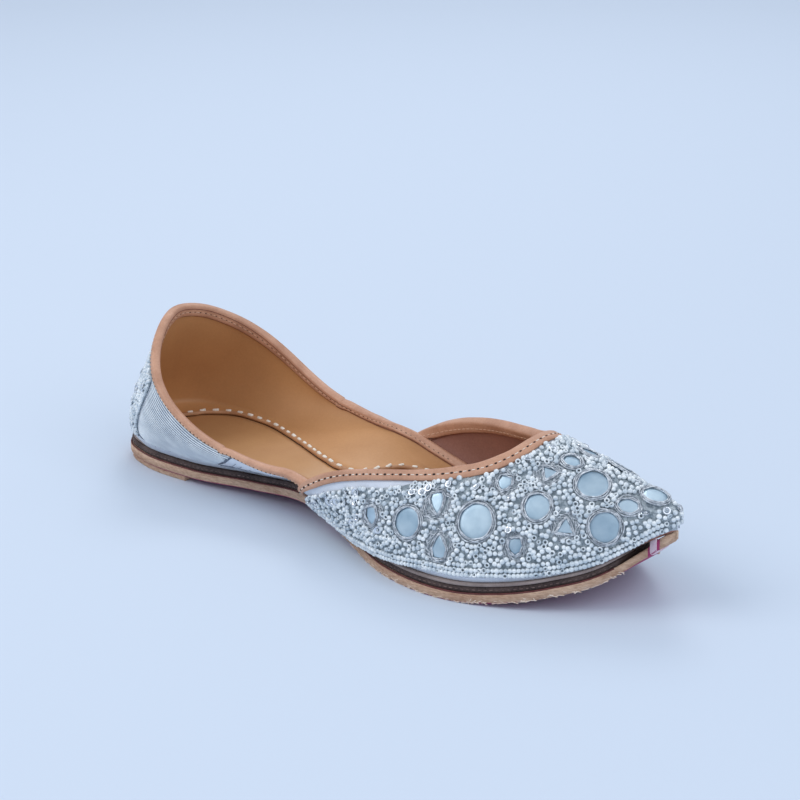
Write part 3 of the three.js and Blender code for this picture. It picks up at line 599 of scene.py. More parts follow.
outsole = layerPiece("outsole_leather", evenInset(0), (0, 250), outsoleUnder, outsoleTop, 0.45, soleEdge,
                     "rawLeather dyedLeather", "raw_leather", "outsole")
for face in outsole.data.polygons:
    x = face.center.x * 1000 - shift[0]
    neck = soleLook["neck"][0] < x < soleLook["neck"][1] and abs(face.normal.z) < soleLook["facesAside"]
    face.material_index = int(neck or face.normal.z < soleLook["facesDown"])
for row in (
        ("welt_band", evenInset(0.7), (0, 237), above(3.5), above(5.95), 0.4, soleEdge,
         "darkWelt", "dark_leather", "midsole"),
        ("board_edge", boardInset, (0, 236.5), above(6.1), above(7.35), 0.3, soleEdge,
         "boardEdge", "board", "insole_board"),
        ("heel_lift_leather", evenInset(0.8), (4, 42), above(0, 0), above(2.15, 0), 0.3, soleEdge,
         "rawLeather", "raw_leather", "heel_lift"),
        ("insole_leather", lambda at: marginIn(at) + 0.8, (0, 223), above(stackHeight),
         above(stackHeight + 1.2), 0.4, footEdge, "insoleLeather", "lining_leather", "insole")):
    layerPiece(*row)
print("sole layers made")

# The upper's two leather parts, hollow, each with its lining and its turned-in margin
upperLook = {"levels": 26, "quarterThick": 1.5, "vampThick": 1.8, "skirt": 1.2, "even": 17, "tries": 211,
             "marginThick": 1.7, "marginRise": 1.5, "underRoll": 0.6, "coveRise": 0.38, "coveFrom": 4.6,
             "coveLevels": 6, "easing": 0.7}
vampApex = apexOf(vampEdge)
toeReach = footEdge.reach


def tuckOf(at):
    # the quarter slips under the vamp's wings
    return -1.5 * smoothStep(footEdge.x(at), 92, 107)


def eased(start, apex, end, before, after):
    # stations that crowd toward a topline's apex
    share = np.linspace(0, 1, before)
    share = share + (smoothStep(share, 0, 1) - share) * upperLook["easing"]
    early = start + (apex - 0.02 - start) * share
    return np.concatenate([early, np.linspace(apex + 0.02, end, after)])


def insideAt(at):
    # the hollow stops short of the toe
    easeStart, easeEnd = footEdge.distanceAt(214), footEdge.distanceAt(238)
    whole = toeReach - easeStart
    share = np.clip((abs(at) - easeStart) / whole, 0, 1)
    inner = easeStart + whole * (share - (1 - (easeEnd - easeStart) / whole) * share * share)
    return np.where(abs(at) <= easeStart, at, np.sign(at) * inner)


def evened(values):
    # moving average, so that the lining's foot runs on smoothly
    window = upperLook["even"]
    padded = np.pad(values, window // 2, mode="edge")
    return np.convolve(padded, np.ones(window) / window, mode="valid")


def leatherRings(at, outer, thick, reach):
    # up the outside, down the lining, and in along the margin
    levels = np.linspace(0, 1, upperLook["levels"])
    outside = offPoint(at[:, None], reach[:, None] * levels, outer[:, None])
    outside[:, 0, 2] = lastPoint(at, 0)[:, 2] - upperLook["skirt"] * (1 - smoothStep(footEdge.x(at), 98, 112))
    inner = insideAt(at)
    depth = (outer - thick)[:, None]
    insideReach = np.where(inner == at, reach, 1.0)
    tries = np.linspace(0, 0.7, upperLook["tries"])
    heights = offPoint(inner[:, None], tries[None], depth)[..., 2]
    width = (marginIn(inner) - upperLook["underRoll"]) * (1 - 0.8 * smoothStep(footEdge.x(at), 205, 235))
    cove = upperLook["coveRise"] * evened(np.maximum(width - upperLook["coveFrom"], 0))
    clear = lastPoint(inner, 0)[:, 2] + upperLook["marginThick"] + cove
    first = np.minimum(evened(tries[np.argmax(heights >= clear[:, None], 1)]), insideReach * 0.7)
    ups = first[:, None] + (insideReach - first)[:, None] * levels
    inside = offPoint(inner[:, None], ups, depth)[:, ::-1]
    foot, out = footEdge.point(inner), footEdge.outward(inner)

    def marginSpots(reachIn, rise):
        return onSole(foot - out * reachIn[:, None], stackHeight + rise)
    # the lining sweeps in a hollow curve from the wall to the margin's edge
    wall, edge = inside[:, -1], marginSpots(width, upperLook["marginRise"])
    bend = marginSpots(np.minimum(width * 0.5, 1.6 + 0.12 * width), upperLook["marginThick"])
    margin = [wall * (1 - t) ** 2 + bend * 2 * t * (1 - t) + edge * t * t
              for t in np.linspace(0, 1, upperLook["coveLevels"] + 1)[1:]]
    margin += [marginSpots(width, 1.0), marginSpots(width * 0.98, 0.3)]
    return np.concatenate([outside, inside, np.stack(margin, 1)], 1)


def shellPiece(name, bands, finish):
    # the first finish outside, the second on the rim, lining and margin
    lining = np.arange(bands[0].shape[1]) >= upperLook["levels"] - 1
    stations = sum(len(rings) - 1 for rings in bands)
    ringsPiece(name, bands, finish, "satin", "upper", ends="open", faceFinish=np.tile(lining, stations))


quarterEnd = footEdge.distanceAt(141)
quarterRun = np.linspace(-quarterEnd, quarterEnd, 300)
shellPiece("quarter_leather", [leatherRings(quarterRun, tuckOf(quarterRun), upperLook["quarterThick"],
                                            reachOf(quarterRun, quarterEdge))], "satin quarterLining")
vampStart = footEdge.distanceAt(108.6)
vampRun = eased(vampStart, vampApex, toeReach, 90, 70)
vampBands = []
for side in (-1, 1):
    reach = np.where(vampRun > vampApex, 1.0, reachOf(side * vampRun, vampEdge))
    vampBands.append(leatherRings(side * vampRun, 0 * vampRun, upperLook["vampThick"], reach))
shellPiece("vamp_leather", vampBands, "satin vampLining")
print("upper made")

# Bindings folded over the toplines
bindingLook = {"gap": 0.25, "thick": 0.75, "corner": 0.25, "quarterOut": 1.3, "quarterIn": 3.3,
               "vampOut": 3, "vampIn": 3.8, "throatMore": 1.5}
bindingTop = bindingLook["gap"] + bindingLook["thick"]


def slide(at, up, move):
    # place on the last reached by sliding along its skin by a short vector
    away = np.where(up > 0.5, -0.01, 0.01)
    here = lastPoint(at, up)
    alongSkin = (lastPoint(at + 0.2, up) - here) / 0.2
    upSkin = (lastPoint(at, up + away) - here) / away[..., None]
    aa, ab, bb = (alongSkin ** 2).sum(-1), (alongSkin * upSkin).sum(-1), (upSkin ** 2).sum(-1)
    ra, rb = (alongSkin * move).sum(-1), (upSkin * move).sum(-1)
    det = aa * bb - ab * ab
    return at + (ra * bb - rb * ab) / det, np.clip(up + (rb * aa - ra * ab) / det, 0.02, 1)


class Topline:
    # the run of a topline with its normals and the direction out over the rim
    def __init__(self, at, up, outer, thick, turn):
        self.at, self.up, self.outer, self.thick = at, up, outer, thick
        self.spots, self.normals = lastPoint(at, up), lastNormal(at, up)
        self.rim = unit(np.cross(self.normals, unit(np.gradient(self.spots, axis=0)))) * turn

    def leg(self, drop, lift):
        at, up = slide(self.at, self.up, -self.rim * np.asarray(drop, float).reshape(-1, 1))
        return offPoint(at, up, self.outer + lift), lastNormal(at, up)

    def crest(self, lift, rise):
        return self.spots + self.normals * (self.outer + lift)[:, None] + self.rim * rise


def bindingPiece(name, line, outLeg, inLeg, taper, node):
    gap, full, corner, far = bindingLook["gap"], bindingTop, bindingLook["corner"], -line.thick
    legs = [(outLeg, gap), (outLeg, full - corner), (outLeg - corner, full), (outLeg * 0.66, full),
            (outLeg * 0.33, full), (inLeg * 0.33, far - full), (inLeg * 0.66, far - full),
            (inLeg - corner, far - full), (inLeg, far - full + corner), (inLeg, far - gap)]
    crests = [(full, 0), (full * 0.82, full * 0.55), (full * 0.35, full * 0.92), (far / 2, full),
              (far - full * 0.35, full * 0.92), (far - full * 0.82, full * 0.55), (far - full, 0),
              (far - gap, 0), (far / 2, gap), (gap, 0)]
    legs = [line.leg(drop * taper, lift)[0] for drop, lift in legs]
    crests = [line.crest(lift, rise) for lift, rise in crests]
    ring = legs[:5] + crests[:7] + legs[5:] + crests[7:]
    ringsPiece(name, [np.stack(ring, 1)], "bindingLeather", "binding_leather", node)


bindEnd = footEdge.distanceAt(140)
bindRun = np.linspace(-bindEnd, bindEnd, 420)
quarterLine = Topline(bindRun, reachOf(bindRun, quarterEdge), tuckOf(bindRun), upperLook["quarterThick"], -1)
bindingPiece("quarter_binding_leather", quarterLine, bindingLook["quarterOut"], bindingLook["quarterIn"], 1.0,
             "quarter_binding")
sideRun = eased(vampStart, vampApex, vampApex, 170, 1)[:-1]
vampBindRun = np.concatenate([-sideRun, [-vampApex], sideRun[::-1]])
vampBindUp = reachOf(vampBindRun, vampEdge)
vampBindUp[len(sideRun)] = 1.0
vampLine = Topline(vampBindRun, vampBindUp, 0 * vampBindRun, upperLook["vampThick"], 1)
vampTaper = 0.45 + 0.55 * smoothStep(abs(vampBindRun), vampStart, vampStart + 16)
nearThroat = smoothStep(abs(vampBindRun), footEdge.distanceAt(166), vampApex - 4)
vampOut = bindingLook["vampOut"] + bindingLook["throatMore"] * nearThroat
bindingPiece("vamp_binding_leather", vampLine, vampOut, bindingLook["vampIn"], vampTaper, "vamp_binding")
print("bindings made")


# Small shapes for beads, sequins, threads and stitches, one millimetre across before scaling
def lathe(work, sides, profile):
    # turns (radius, height) pairs about Z; a radius of zero closes the end
    rings = []
    for radius, height in profile:
        angles = [2 * math.pi * k / sides for k in range(sides if radius else 1)]
        rings.append([work.verts.new((radius * math.cos(a), radius * math.sin(a), height)) for a in angles])
    for low, high in zip(rings, rings[1:]):
        for k in range(sides):
            corners = [ring[i % len(ring)] for ring, i in ((low, k), (low, k + 1), (high, k + 1), (high, k))]
            work.faces.new(list(dict.fromkeys(corners)))
    bmesh.ops.recalc_face_normals(work, faces=work.faces)
    bmesh.ops.remove_doubles(work, verts=work.verts, dist=1e-5)


def ballShape(work):
    bmesh.ops.create_uvsphere(work, u_segments=8, v_segments=5, radius=0.5)
    bmesh.ops.scale(work, vec=(1, 1, 0.86), verts=work.verts)


def donutShape(work):
    lathe(work, 10, [(0.2, 0), (0.3, 0.26), (0.44, 0.2), (0.5, 0), (0.44, -0.2), (0.3, -0.26), (0.2, 0)])


def sequinShape(work):
    lathe(work, 14, [(0.1, 0.02), (0.3, 0.04), (0.48, 0.15), (0.5, 0.11), (0.3, -0.02), (0.1, -0.04),
                     (0.1, 0.02)])


def rodShape(work):
    # lies along X
    lathe(work, 7, [(0, -0.5), (0.35, -0.47), (0.5, -0.36), (0.5, 0.36), (0.35, 0.47), (0, 0.5)])
    bmesh.ops.rotate(work, matrix=Matrix.Rotation(math.pi / 2, 3, "Y"), verts=work.verts)


def shapeObject(name, build):
    # set many times by the sprinkle tree, and removed at the end
    work, mesh = bmesh.new(), bpy.data.meshes.new(name)
    build(work)
    smoothed(work, mesh)
    return linked(mesh, name)


ball, donut = shapeObject("ball", ballShape), shapeObject("donut", donutShape)
sequinCup, rod = shapeObject("sequinCup", sequinShape), shapeObject("rod", rodShape)

# The wings' feet hang out over the sole's edge: how much, along the foot, and how far out and down at most
drapeRows = table("along amount", [
    (100, 1), (122, 1), (134, 0.85), (150, 0.5), (166, 0.25), (184, 0)])
drapeAmount = curveOf(drapeRows, "amount")
drapeLook = {"from": 100, "out": 2.0, "down": 2.5, "reach": 0.4}


def drape(at, up):
    x = footEdge.x(at)
    amount = np.where(x < drapeLook["from"], 0, drapeAmount(x)) * (1 - smoothStep(up, 0, drapeLook["reach"]))
    out = footEdge.outward(at) * drapeLook["out"] * amount[..., None]
    return np.concatenate([out, (-drapeLook["down"] * amount)[..., None]], -1)


def sheetRings(at, up, outer, inner):
    # a thin sheet on the skin, its outer face up the rib and its inner face down again
    hang = drape(at, up)
    return np.concatenate([offPoint(at, up, outer) + hang, (offPoint(at, up, inner) + hang)[:, ::-1]], 1)


def bandRings(at, low, high, levels):
    share = np.linspace(0, 1, levels)[None]
    return sheetRings(at[:, None], low[:, None] + (high - low)[:, None] * share, *groundLook["faces"])


def treeOf(spots):
    tree = KDTree(len(spots))
    for index, spot in enumerate(spots):
        tree.insert(spot, index)
    tree.balance()
    return tree


# Beadwork ground, a thin embroidered cloth over the vamp and down the middle of the heel
groundLook = {"faces": (0.5, 0.12), "levels": 22, "heelHalf": 28.0, "heelStations": 61, "heelLevels": 16,
              "heelFoot": 2, "heelHead": 4}
borderRows = table("along high", [
    (109, 0.4), (150, 0.5), (165, 1.2), (182, 2.6), (200, 2.4), (214, 1.2), (228, 0.6), (252, 0.3)])
borderHigh = curveOf(borderRows, "high")
bindingTree = treeOf(vampLine.spots)


def nearBinding(spots):
    # plain satin shows under the binding at the wings, and the beads close up to it further forward
    x = spots[:, 0]
    plain = 4.0 + 2.0 * (1 - smoothStep(x, 156, 170)) + 1.3 * smoothStep(x, 178, 196)
    plain = plain * (0.5 + 0.5 * smoothStep(x, 110, 124))
    return np.array([bindingTree.find(spot)[2] for spot in spots]) < plain


fieldStart = vampStart + 0.6
fieldRun = eased(fieldStart, vampApex, toeReach - 0.6, 110, 80)
fieldLength = {side: ribLength(side * fieldRun) for side in (-1, 1)}
fieldTop = {}
for side in (-1, 1):
    whole = np.where(fieldRun > vampApex, 1.0, reachOf(side * fieldRun, vampEdge))
    shares = np.linspace(0.1, 1, 80)
    ups = whole[:, None] * shares[None]
    blocked = nearBinding(lastPoint(side * fieldRun[:, None], ups).reshape(-1, 3)).reshape(ups.shape)
    fieldTop[side] = whole * np.where(blocked.any(1), shares[np.argmax(blocked, 1)], 1.0)


def bySide(values):
    # reads a value that is kept along each side of the foot edge
    return lambda at: np.where(at < 0, np.interp(abs(at), fieldRun, values[-1]),
                               np.interp(abs(at), fieldRun, values[1]))


topAt, lengthAt = bySide(fieldTop), bySide(fieldLength)


def lowAt(at):
    return np.minimum(borderHigh(footEdge.x(at)) / np.maximum(lengthAt(at), 4), 0.4)


ringsPiece("beadwork_ground", [bandRings(side * fieldRun, lowAt(side * fieldRun), fieldTop[side],
                                         groundLook["levels"]) for side in (-1, 1)],
           "threadGround", "beadwork", "vamp_beadwork")
heelHalf = groundLook["heelHalf"]
heelRun = np.linspace(-heelHalf, heelHalf, groundLook["heelStations"])
heelBand = bandRings(heelRun, groundLook["heelFoot"] / ribLength(heelRun),
                     1 - groundLook["heelHead"] / ribLength(heelRun), groundLook["heelLevels"])
ringsPiece("heel_ground", [heelBand], "threadGround", "beadwork", "heel_beadwork")
print("beadwork ground made")

# Mirrors, each in its own frame on the skin: toward the toe, up the rib, and off it
mirrorLook = {"lift": 0.95, "skirt": 0.6, "bevel": 0.08, "dome": 0.1, "rings": (0.96, 0.7, 0.4)}
outlines = {kind: half + [(-x, y) for x, y in half[-2:0:-1]] for kind, half in {
    "drop": [(0, -1), (0.62, -0.25), (0.86, 0.5), (0.6, 0.95), (0, 1)],
    "kite": [(0, 1), (0.5, 0.45), (0.86, -0.2), (0.62, -0.92), (0, -1)],
    "five": [(0, -1), (0.6, -0.62), (0.95, 0), (0.75, 0.85), (0, 0.95)],
    "peak": [(0, 1), (0.48, 0.1), (0.95, -0.85), (0, -0.9)],
    "dip": [(0, -1), (0.5, -0.05), (0.95, 0.8), (0, 0.85)]}.items()}
outlines["round"] = [(math.cos(2 * math.pi * k / 32), math.sin(2 * math.pi * k / 32)) for k in range(32)]
# outline, distance from the heel along the foot edge, place up the rib, width, height
mirrorRows = [
    ("round", 187.4, 0.339, 10, 10.4), ("round", 211.7, 0.35, 12, 12.4), ("round", 230.6, 0.471, 9, 9.2),
    ("round", 253.7, 0.372, 10.4, 10.4), ("round", 244.9, 0.747, 11, 10.6), ("round", 234.8, 0.879, 6.5, 5.2),
    ("round", 259.7, 0.626, 7, 5), ("drop", 197.5, 0.438, 5.4, 7.6), ("kite", 199.9, 0.207, 6, 7.8),
    ("five", 171.4, 0.383, 5.2, 6.2), ("five", 218.2, 0.571, 4.8, 5.2), ("five", 225.9, 0.229, 4.8, 5.6),
    ("peak", 240.7, 0.372, 5.8, 5.2), ("dip", 230.6, 0.703, 5.6, 4.6)]


def skinFrame(at, up):
    spot = lastPoint(at, up) + drape(at, up)
    normal = lastNormal(at, up)
    ahead = lastPoint(at + np.where(at < 0, -0.2, 0.2), up) + drape(at, up) - spot
    ahead = unit(ahead - normal * (ahead * normal).sum(-1, keepdims=True))
    rise = np.cross(normal, ahead) * np.where(at < 0, 1, -1)[..., None]
    return spot, ahead, rise, normal


mirrorPlaces = [(kind, side * at, *sizes) for side in (-1, 1) for kind, at, *sizes in mirrorRows]
mirrorPlaces.append(("round", -266, 0.985, 8.6, 8.6))    # at the tip of the toe
mirrorKinds, mirrorAt, mirrorUp, mirrorWide, mirrorHigh = (np.array(column) for column in zip(*mirrorPlaces))
mirrorSpots, mirrorAhead, mirrorRise, mirrorNormals = skinFrame(mirrorAt, mirrorUp)
mirrorSizes = np.maximum(mirrorWide, mirrorHigh) / 2
mirrorRound = mirrorKinds == "round"


def aroundMirror(index, grow, lift, count=None):
    # points round a mirror's outline, grown outwards and lifted off the skin
    outline = np.array(outlines[mirrorKinds[index]])
    if count:
        turn = np.linspace(0, len(outline), count, endpoint=False)
        whole, part = turn.astype(int), (turn % 1)[:, None]
        outline = outline[whole] * (1 - part) + outline[(whole + 1) % len(outline)] * part
    plan = outline * [mirrorWide[index] / 2, mirrorHigh[index] / 2]
    plan = plan + unit(plan) * grow
    return (mirrorSpots[index] + plan[:, :1] * mirrorAhead[index] + plan[:, 1:] * mirrorRise[index]
            + mirrorNormals[index] * lift)


mirrorPoints, mirrorFaces, start = [], [], 0
for index, normal in enumerate(mirrorNormals):
    lift, bevel = mirrorLook["lift"], mirrorLook["bevel"]
    dome = mirrorLook["dome"] * min(mirrorWide[index], mirrorHigh[index]) / 10
    middle = mirrorSpots[index] + normal * lift
    rings = [aroundMirror(index, 0, lift - mirrorLook["skirt"]), aroundMirror(index, 0, lift - bevel)]
    flat = rings[1] + normal * bevel - middle
    rings += [middle + flat * share + normal * dome * (1 - share * share) for share in mirrorLook["rings"]]
    mirrorPoints += rings + [(middle + normal * dome)[None]]
    size = len(rings[0])
    last = start + (len(rings) - 1) * size
    mirrorFaces += (ringFaces(len(rings), size) + start).tolist() + [list(range(start, start + size))]
    mirrorFaces += [[last + k, last + (k + 1) % size, last + size] for k in range(size)]
    start = last + size + 1
meshPiece("mirrors", np.concatenate(mirrorPoints), mirrorFaces, "mirror", "beadwork")

# Silver thread that holds each mirror: loops laid round it, a little uneven
holdLook = {"radius": 0.26, "round": ((0.05, 1.34), (0.55, 1.16), (1.1, 0.86)),
            "sharp": ((0.3, 1.1), (0.8, 0.9)), "waves": (2, 3, 7), "wobble": 0.09, "count": 44, "seed": 5}
chance = np.random.default_rng(holdLook["seed"])
turn = np.linspace(0, 2 * np.pi, holdLook["count"], endpoint=False)
holdBands = []
for index, normal in enumerate(mirrorNormals):
    for grow, lift in holdLook["round" if mirrorRound[index] else "sharp"]:
        path = aroundMirror(index, grow, lift, holdLook["count"])
        waves = sum(np.sin(turn * k + chance.uniform(0, 6.3)) for k in holdLook["waves"]) * holdLook["wobble"]
        path = path + unit(path - path.mean(0)) * waves[:, None] + normal * (waves * 0.5)[:, None]
        holdBands.append(tubeRings(path, normal[None], holdLook["radius"], joined=True))
ringsPiece("mirror_threads", holdBands, "silverThread", "beadwork", ends="joined")
print("mirrors made")

# Bead field
beadLook = {"size": 1.94, "gap": 1.42, "rows": (1.0, 2.8), "rowGap": 1.5, "tries": 90000, "donuts": 0.2,
            "lift": 1.05, "margin": 0.7, "roundGap": 1.7, "sharpGap": 2, "seed": 11, "donutSeed": 3}
ringLook = {"grow": 2.15, "gap": 1.75, "share": 0.8}
sequinLook = {"tries": 900, "gap": 2.3, "most": 56, "size": 2.9, "lift": 1.25, "bead": 1, "beadLift": 1.55}
neighbours = list(itertools.product((-1, 0, 1), repeat=3))


class Packing:
    # keeps points apart, looking only into the cells round each
    cell = 2.9

    def __init__(self):
        self.cells = {}

    def keep(self, spots, gap, wanted=None):
        # the numbers of the spots that fit, taken in order
        kept = []
        for index in np.arange(len(spots)) if wanted is None else np.nonzero(wanted)[0]:
            a, b, c = spot = tuple(spots[index])
            i, j, k = (int(math.floor(part / self.cell)) for part in spot)
            near = itertools.chain.from_iterable(
                self.cells.get((i + u, j + v, k + w), ()) for u, v, w in neighbours)
            if all((a - x) ** 2 + (b - y) ** 2 + (c - z) ** 2 >= gap * gap for x, y, z in near):
                self.cells.setdefault((i, j, k), []).append(spot)
                kept.append(index)
        return np.array(kept, int)


packing = Packing()


def fieldKeep(at, up, gap):
    # those of the candidates that fit, clear of mirrors and binding
    spots = lastPoint(at, up)
    away = np.linalg.norm(spots[:, None] - mirrorSpots[None], axis=-1)
    clear = away > mirrorSizes + np.where(mirrorRound, beadLook["roundGap"], beadLook["sharpGap"])
    return packing.keep(spots, gap, clear.all(1) & ~nearBinding(spots))


beads = []


def keepBeads(at, up):
    kept = fieldKeep(at, up, beadLook["gap"])
    beads.append((at[kept], up[kept]))


# two rows of beads along the border
for side in (-1, 1):
    for high in beadLook["rows"]:
        run = np.arange(fieldStart + 1.2, toeReach - 4, 0.05)
        up = lowAt(side * run) + high / lengthAt(side * run)
        walk = walkOf(lastPoint(side * run, up))
        picks = np.interp(np.arange(0, walk[-1], beadLook["rowGap"]), walk, run)
        keepBeads(side * picks, np.interp(picks, run, up))
# an open ring of beads round each round mirror
chance = np.random.default_rng(beadLook["seed"])
fieldGrid = np.meshgrid(np.concatenate([-fieldRun[::-1], fieldRun]), np.linspace(0.02, 1, 60), indexing="ij")
gridAt, gridUp = fieldGrid[0].ravel(), fieldGrid[1].ravel()
gridTree = treeOf(lastPoint(gridAt, gridUp))
for index in np.nonzero(mirrorRound)[0]:
    size = mirrorSizes[index] + ringLook["grow"]
    turn = np.arange(0, 2 * np.pi * ringLook["share"], ringLook["gap"] / size) + chance.uniform(0, 6.3)
    ring = mirrorSpots[index] + size * (np.cos(turn)[:, None] * mirrorAhead[index]
                                        + np.sin(turn)[:, None] * mirrorRise[index])
    picks = np.array([gridTree.find(point)[1] for point in ring])
    picks = picks[gridUp[picks] < topAt(gridAt[picks]) - 0.01]
    keepBeads(gridAt[picks], gridUp[picks])
# sequins: a few at the photograph's places, then others by chance
sequinRows = table("at up", [
    (206.3, 0.085), (210.6, 0.075), (217.5, 0.09), (250.5, 0.62), (239.0, 0.60), (163, 0.62), (223, 0.32),
    (266.5, 0.55)])
size = sequinLook["tries"]
tries = eitherSide(chance, fieldStart + 6, toeReach - 3, size)
triesUp = topAt(tries) * (0.35 + 0.63 * np.sqrt(chance.uniform(0, 1, size)))
sequinAt = np.concatenate([-sequinRows["at"], sequinRows["at"], tries])
sequinUp = np.concatenate([sequinRows["up"], sequinRows["up"], triesUp])
kept = fieldKeep(sequinAt, sequinUp, sequinLook["gap"])[:sequinLook["most"]]
sequinAt, sequinUp = sequinAt[kept], sequinUp[kept]
# and beads over all that is left
size = beadLook["tries"]
at = eitherSide(chance, fieldStart + 0.6, toeReach - 0.4, size)
low, margin = lowAt(at), beadLook["margin"] / lengthAt(at)
up = np.minimum(low + margin + (topAt(at) - low - margin) * chance.uniform(0, 1, size), 0.995)
dense = chance.uniform(0, 1, size) < lengthAt(at) / lengthAt(at).max()
keepBeads(at[dense], up[dense])
beadAt, beadUp = (np.concatenate(parts) for parts in zip(*beads))
print("beads placed:", len(beadAt))


def scatter(name, at, up, lift, shape, finish, seed, size, spread, tilt, stretch=1.0, run=None):
    # shapes on the skin, a little uneven in height and tilt
    spots, ahead, rise, normals = skinFrame(at, up)
    chance = np.random.default_rng(seed)
    if run is None:
        angle = chance.uniform(0, 2 * np.pi, len(at))[:, None]
        run = ahead * np.cos(angle) + rise * np.sin(angle)
    facing = unit(normals + chance.normal(0, 1, spots.shape) * tilt)
    lifted = spots + normals * (lift + chance.uniform(-0.12, 0.12, len(at)))[:, None]
    sprinkle(name, "beadwork", lifted, run, facing, shape, finish, seed, spread, size, stretch)


donutPick = np.random.default_rng(beadLook["donutSeed"]).uniform(0, 1, len(beadAt)) < beadLook["donuts"]
for word, side in (("near", beadAt < 0), ("far", beadAt >= 0)):
    for kind, pick, *looks in (
            ("seed_beads_", side & ~donutPick, ball, "glassBead", 7, beadLook["size"], 0.12, 0.3),
            ("ring_beads_", side & donutPick, donut, "glassBead", 8, beadLook["size"] * 1.05, 0.1, 0.35)):
        scatter(kind + word, beadAt[pick], beadUp[pick], beadLook["lift"], *looks)
scatter("sequins", sequinAt, sequinUp, sequinLook["lift"], sequinCup, "sequin", 9, sequinLook["size"],
        0.12, 0.28)
scatter("sequin_beads", sequinAt, sequinUp, sequinLook["beadLift"], donut, "glassBead", 10,
        sequinLook["bead"], 0.1, 0.3)
print("beads set")

# Silver thread stitched densely round the pointed mirrors
zariLook = {"from": 160, "reach": 2.7, "gap": 0.74, "size": (2.5, 0.36, 0.36), "lift": 0.72, "seed": 21,
            "tries": 60000}
chance = np.random.default_rng(zariLook["seed"])
at = eitherSide(chance, zariLook["from"], toeReach - 6, zariLook["tries"])
up = topAt(at) * chance.uniform(0.04, 1, zariLook["tries"])
spots = lastPoint(at, up)
away = np.linalg.norm(spots[:, None] - mirrorSpots[None], axis=-1) - mirrorSizes
away = np.where(mirrorRound[None], 99.0, away)
kept = Packing().keep(spots, zariLook["gap"], (away.min(1) < zariLook["reach"]) & (away.min(1) > 0.2))
at, up, spots, owner = at[kept], up[kept], spots[kept], away[kept].argmin(1)
outward = unit(spots - mirrorSpots[owner])
around = unit(np.cross(lastNormal(at, up), outward))
slant = chance.choice([-0.6, 0.6, 0.0], len(at))[:, None]
scatter("zari_threads", at, up, zariLook["lift"], rod, "silverThread", 22, 1.0, 0.2, 0.06, zariLook["size"],
        unit(around + outward * slant))

# Bugle beads at the wings' rear corners
bugleLook = {"size": (3.4, 1.3, 1.3), "lift": 1.35, "ahead": np.array([3.2, 3.6, 6.6, 2.6, 7.4, 4.6]),
             "up": [0.78, 0.62, 0.72, 0.46, 0.52, 0.3]}
bugleAt = np.concatenate([side * (vampStart + bugleLook["ahead"]) for side in (-1, 1)])
bugleUp = np.tile(bugleLook["up"], 2) * topAt(bugleAt)
scatter("bugle_beads", bugleAt, bugleUp, bugleLook["lift"], rod, "glassBead", 23, 1.0, 0.1, 0.05,
        bugleLook["size"], skinFrame(bugleAt, bugleUp)[1])

# Beads and sequins of the heel strip
heelLook = {"tries": 26000, "low": 2.8, "top": 4.8, "size": 1.62, "gap": 0.76, "lift": 0.62, "edge": 0.8,
            "edgeUps": np.linspace(0.08, 0.86, 27), "sequin": 3.4, "sequinLift": 1, "sequinBead": 1.3,
            "sequinBeadLift": 1.4, "seed": 31}
heelColumns = ((0, (0.16, 0.3, 0.44, 0.58, 0.72)), (7, (0.22, 0.37, 0.51, 0.65)), (14, (0.3, 0.45, 0.6)),
               (20.5, (0.38, 0.55)), (25, (0.2,)), (25, (0.7,)))    # distance from the middle, places up
heelSequins = np.array([(side * at, up) for at, ups in heelColumns for side in ((-1, 1) if at else (1,))
                        for up in ups]).T
chance = np.random.default_rng(heelLook["seed"])
heelPacking = Packing()
heelPacking.keep(lastPoint(*heelSequins), 1.0)
edgeUps, inner = heelLook["edgeUps"], heelHalf - 0.7
at = np.concatenate([0 * edgeUps - heelHalf + heelLook["edge"], 0 * edgeUps + heelHalf - heelLook["edge"],
                     chance.uniform(-inner, inner, heelLook["tries"])])
up = np.concatenate([edgeUps, edgeUps, chance.uniform(0, 1, heelLook["tries"])])
length = ribLength(at)
kept = heelPacking.keep(lastPoint(at, up), heelLook["size"] * heelLook["gap"],
                        (up > heelLook["low"] / length) & (up < 1 - heelLook["top"] / length))
scatter("heel_beads", at[kept], up[kept], heelLook["lift"], ball, "glassBead", 32, heelLook["size"],
        0.12, 0.3)
scatter("heel_sequins", *heelSequins, heelLook["sequinLift"], sequinCup, "sequin", 33, heelLook["sequin"],
        0.1, 0.2)
scatter("heel_sequin_beads", *heelSequins, heelLook["sequinBeadLift"], donut, "glassBead", 34,
        heelLook["sequinBead"], 0.1, 0.2)
print("heel strip made")
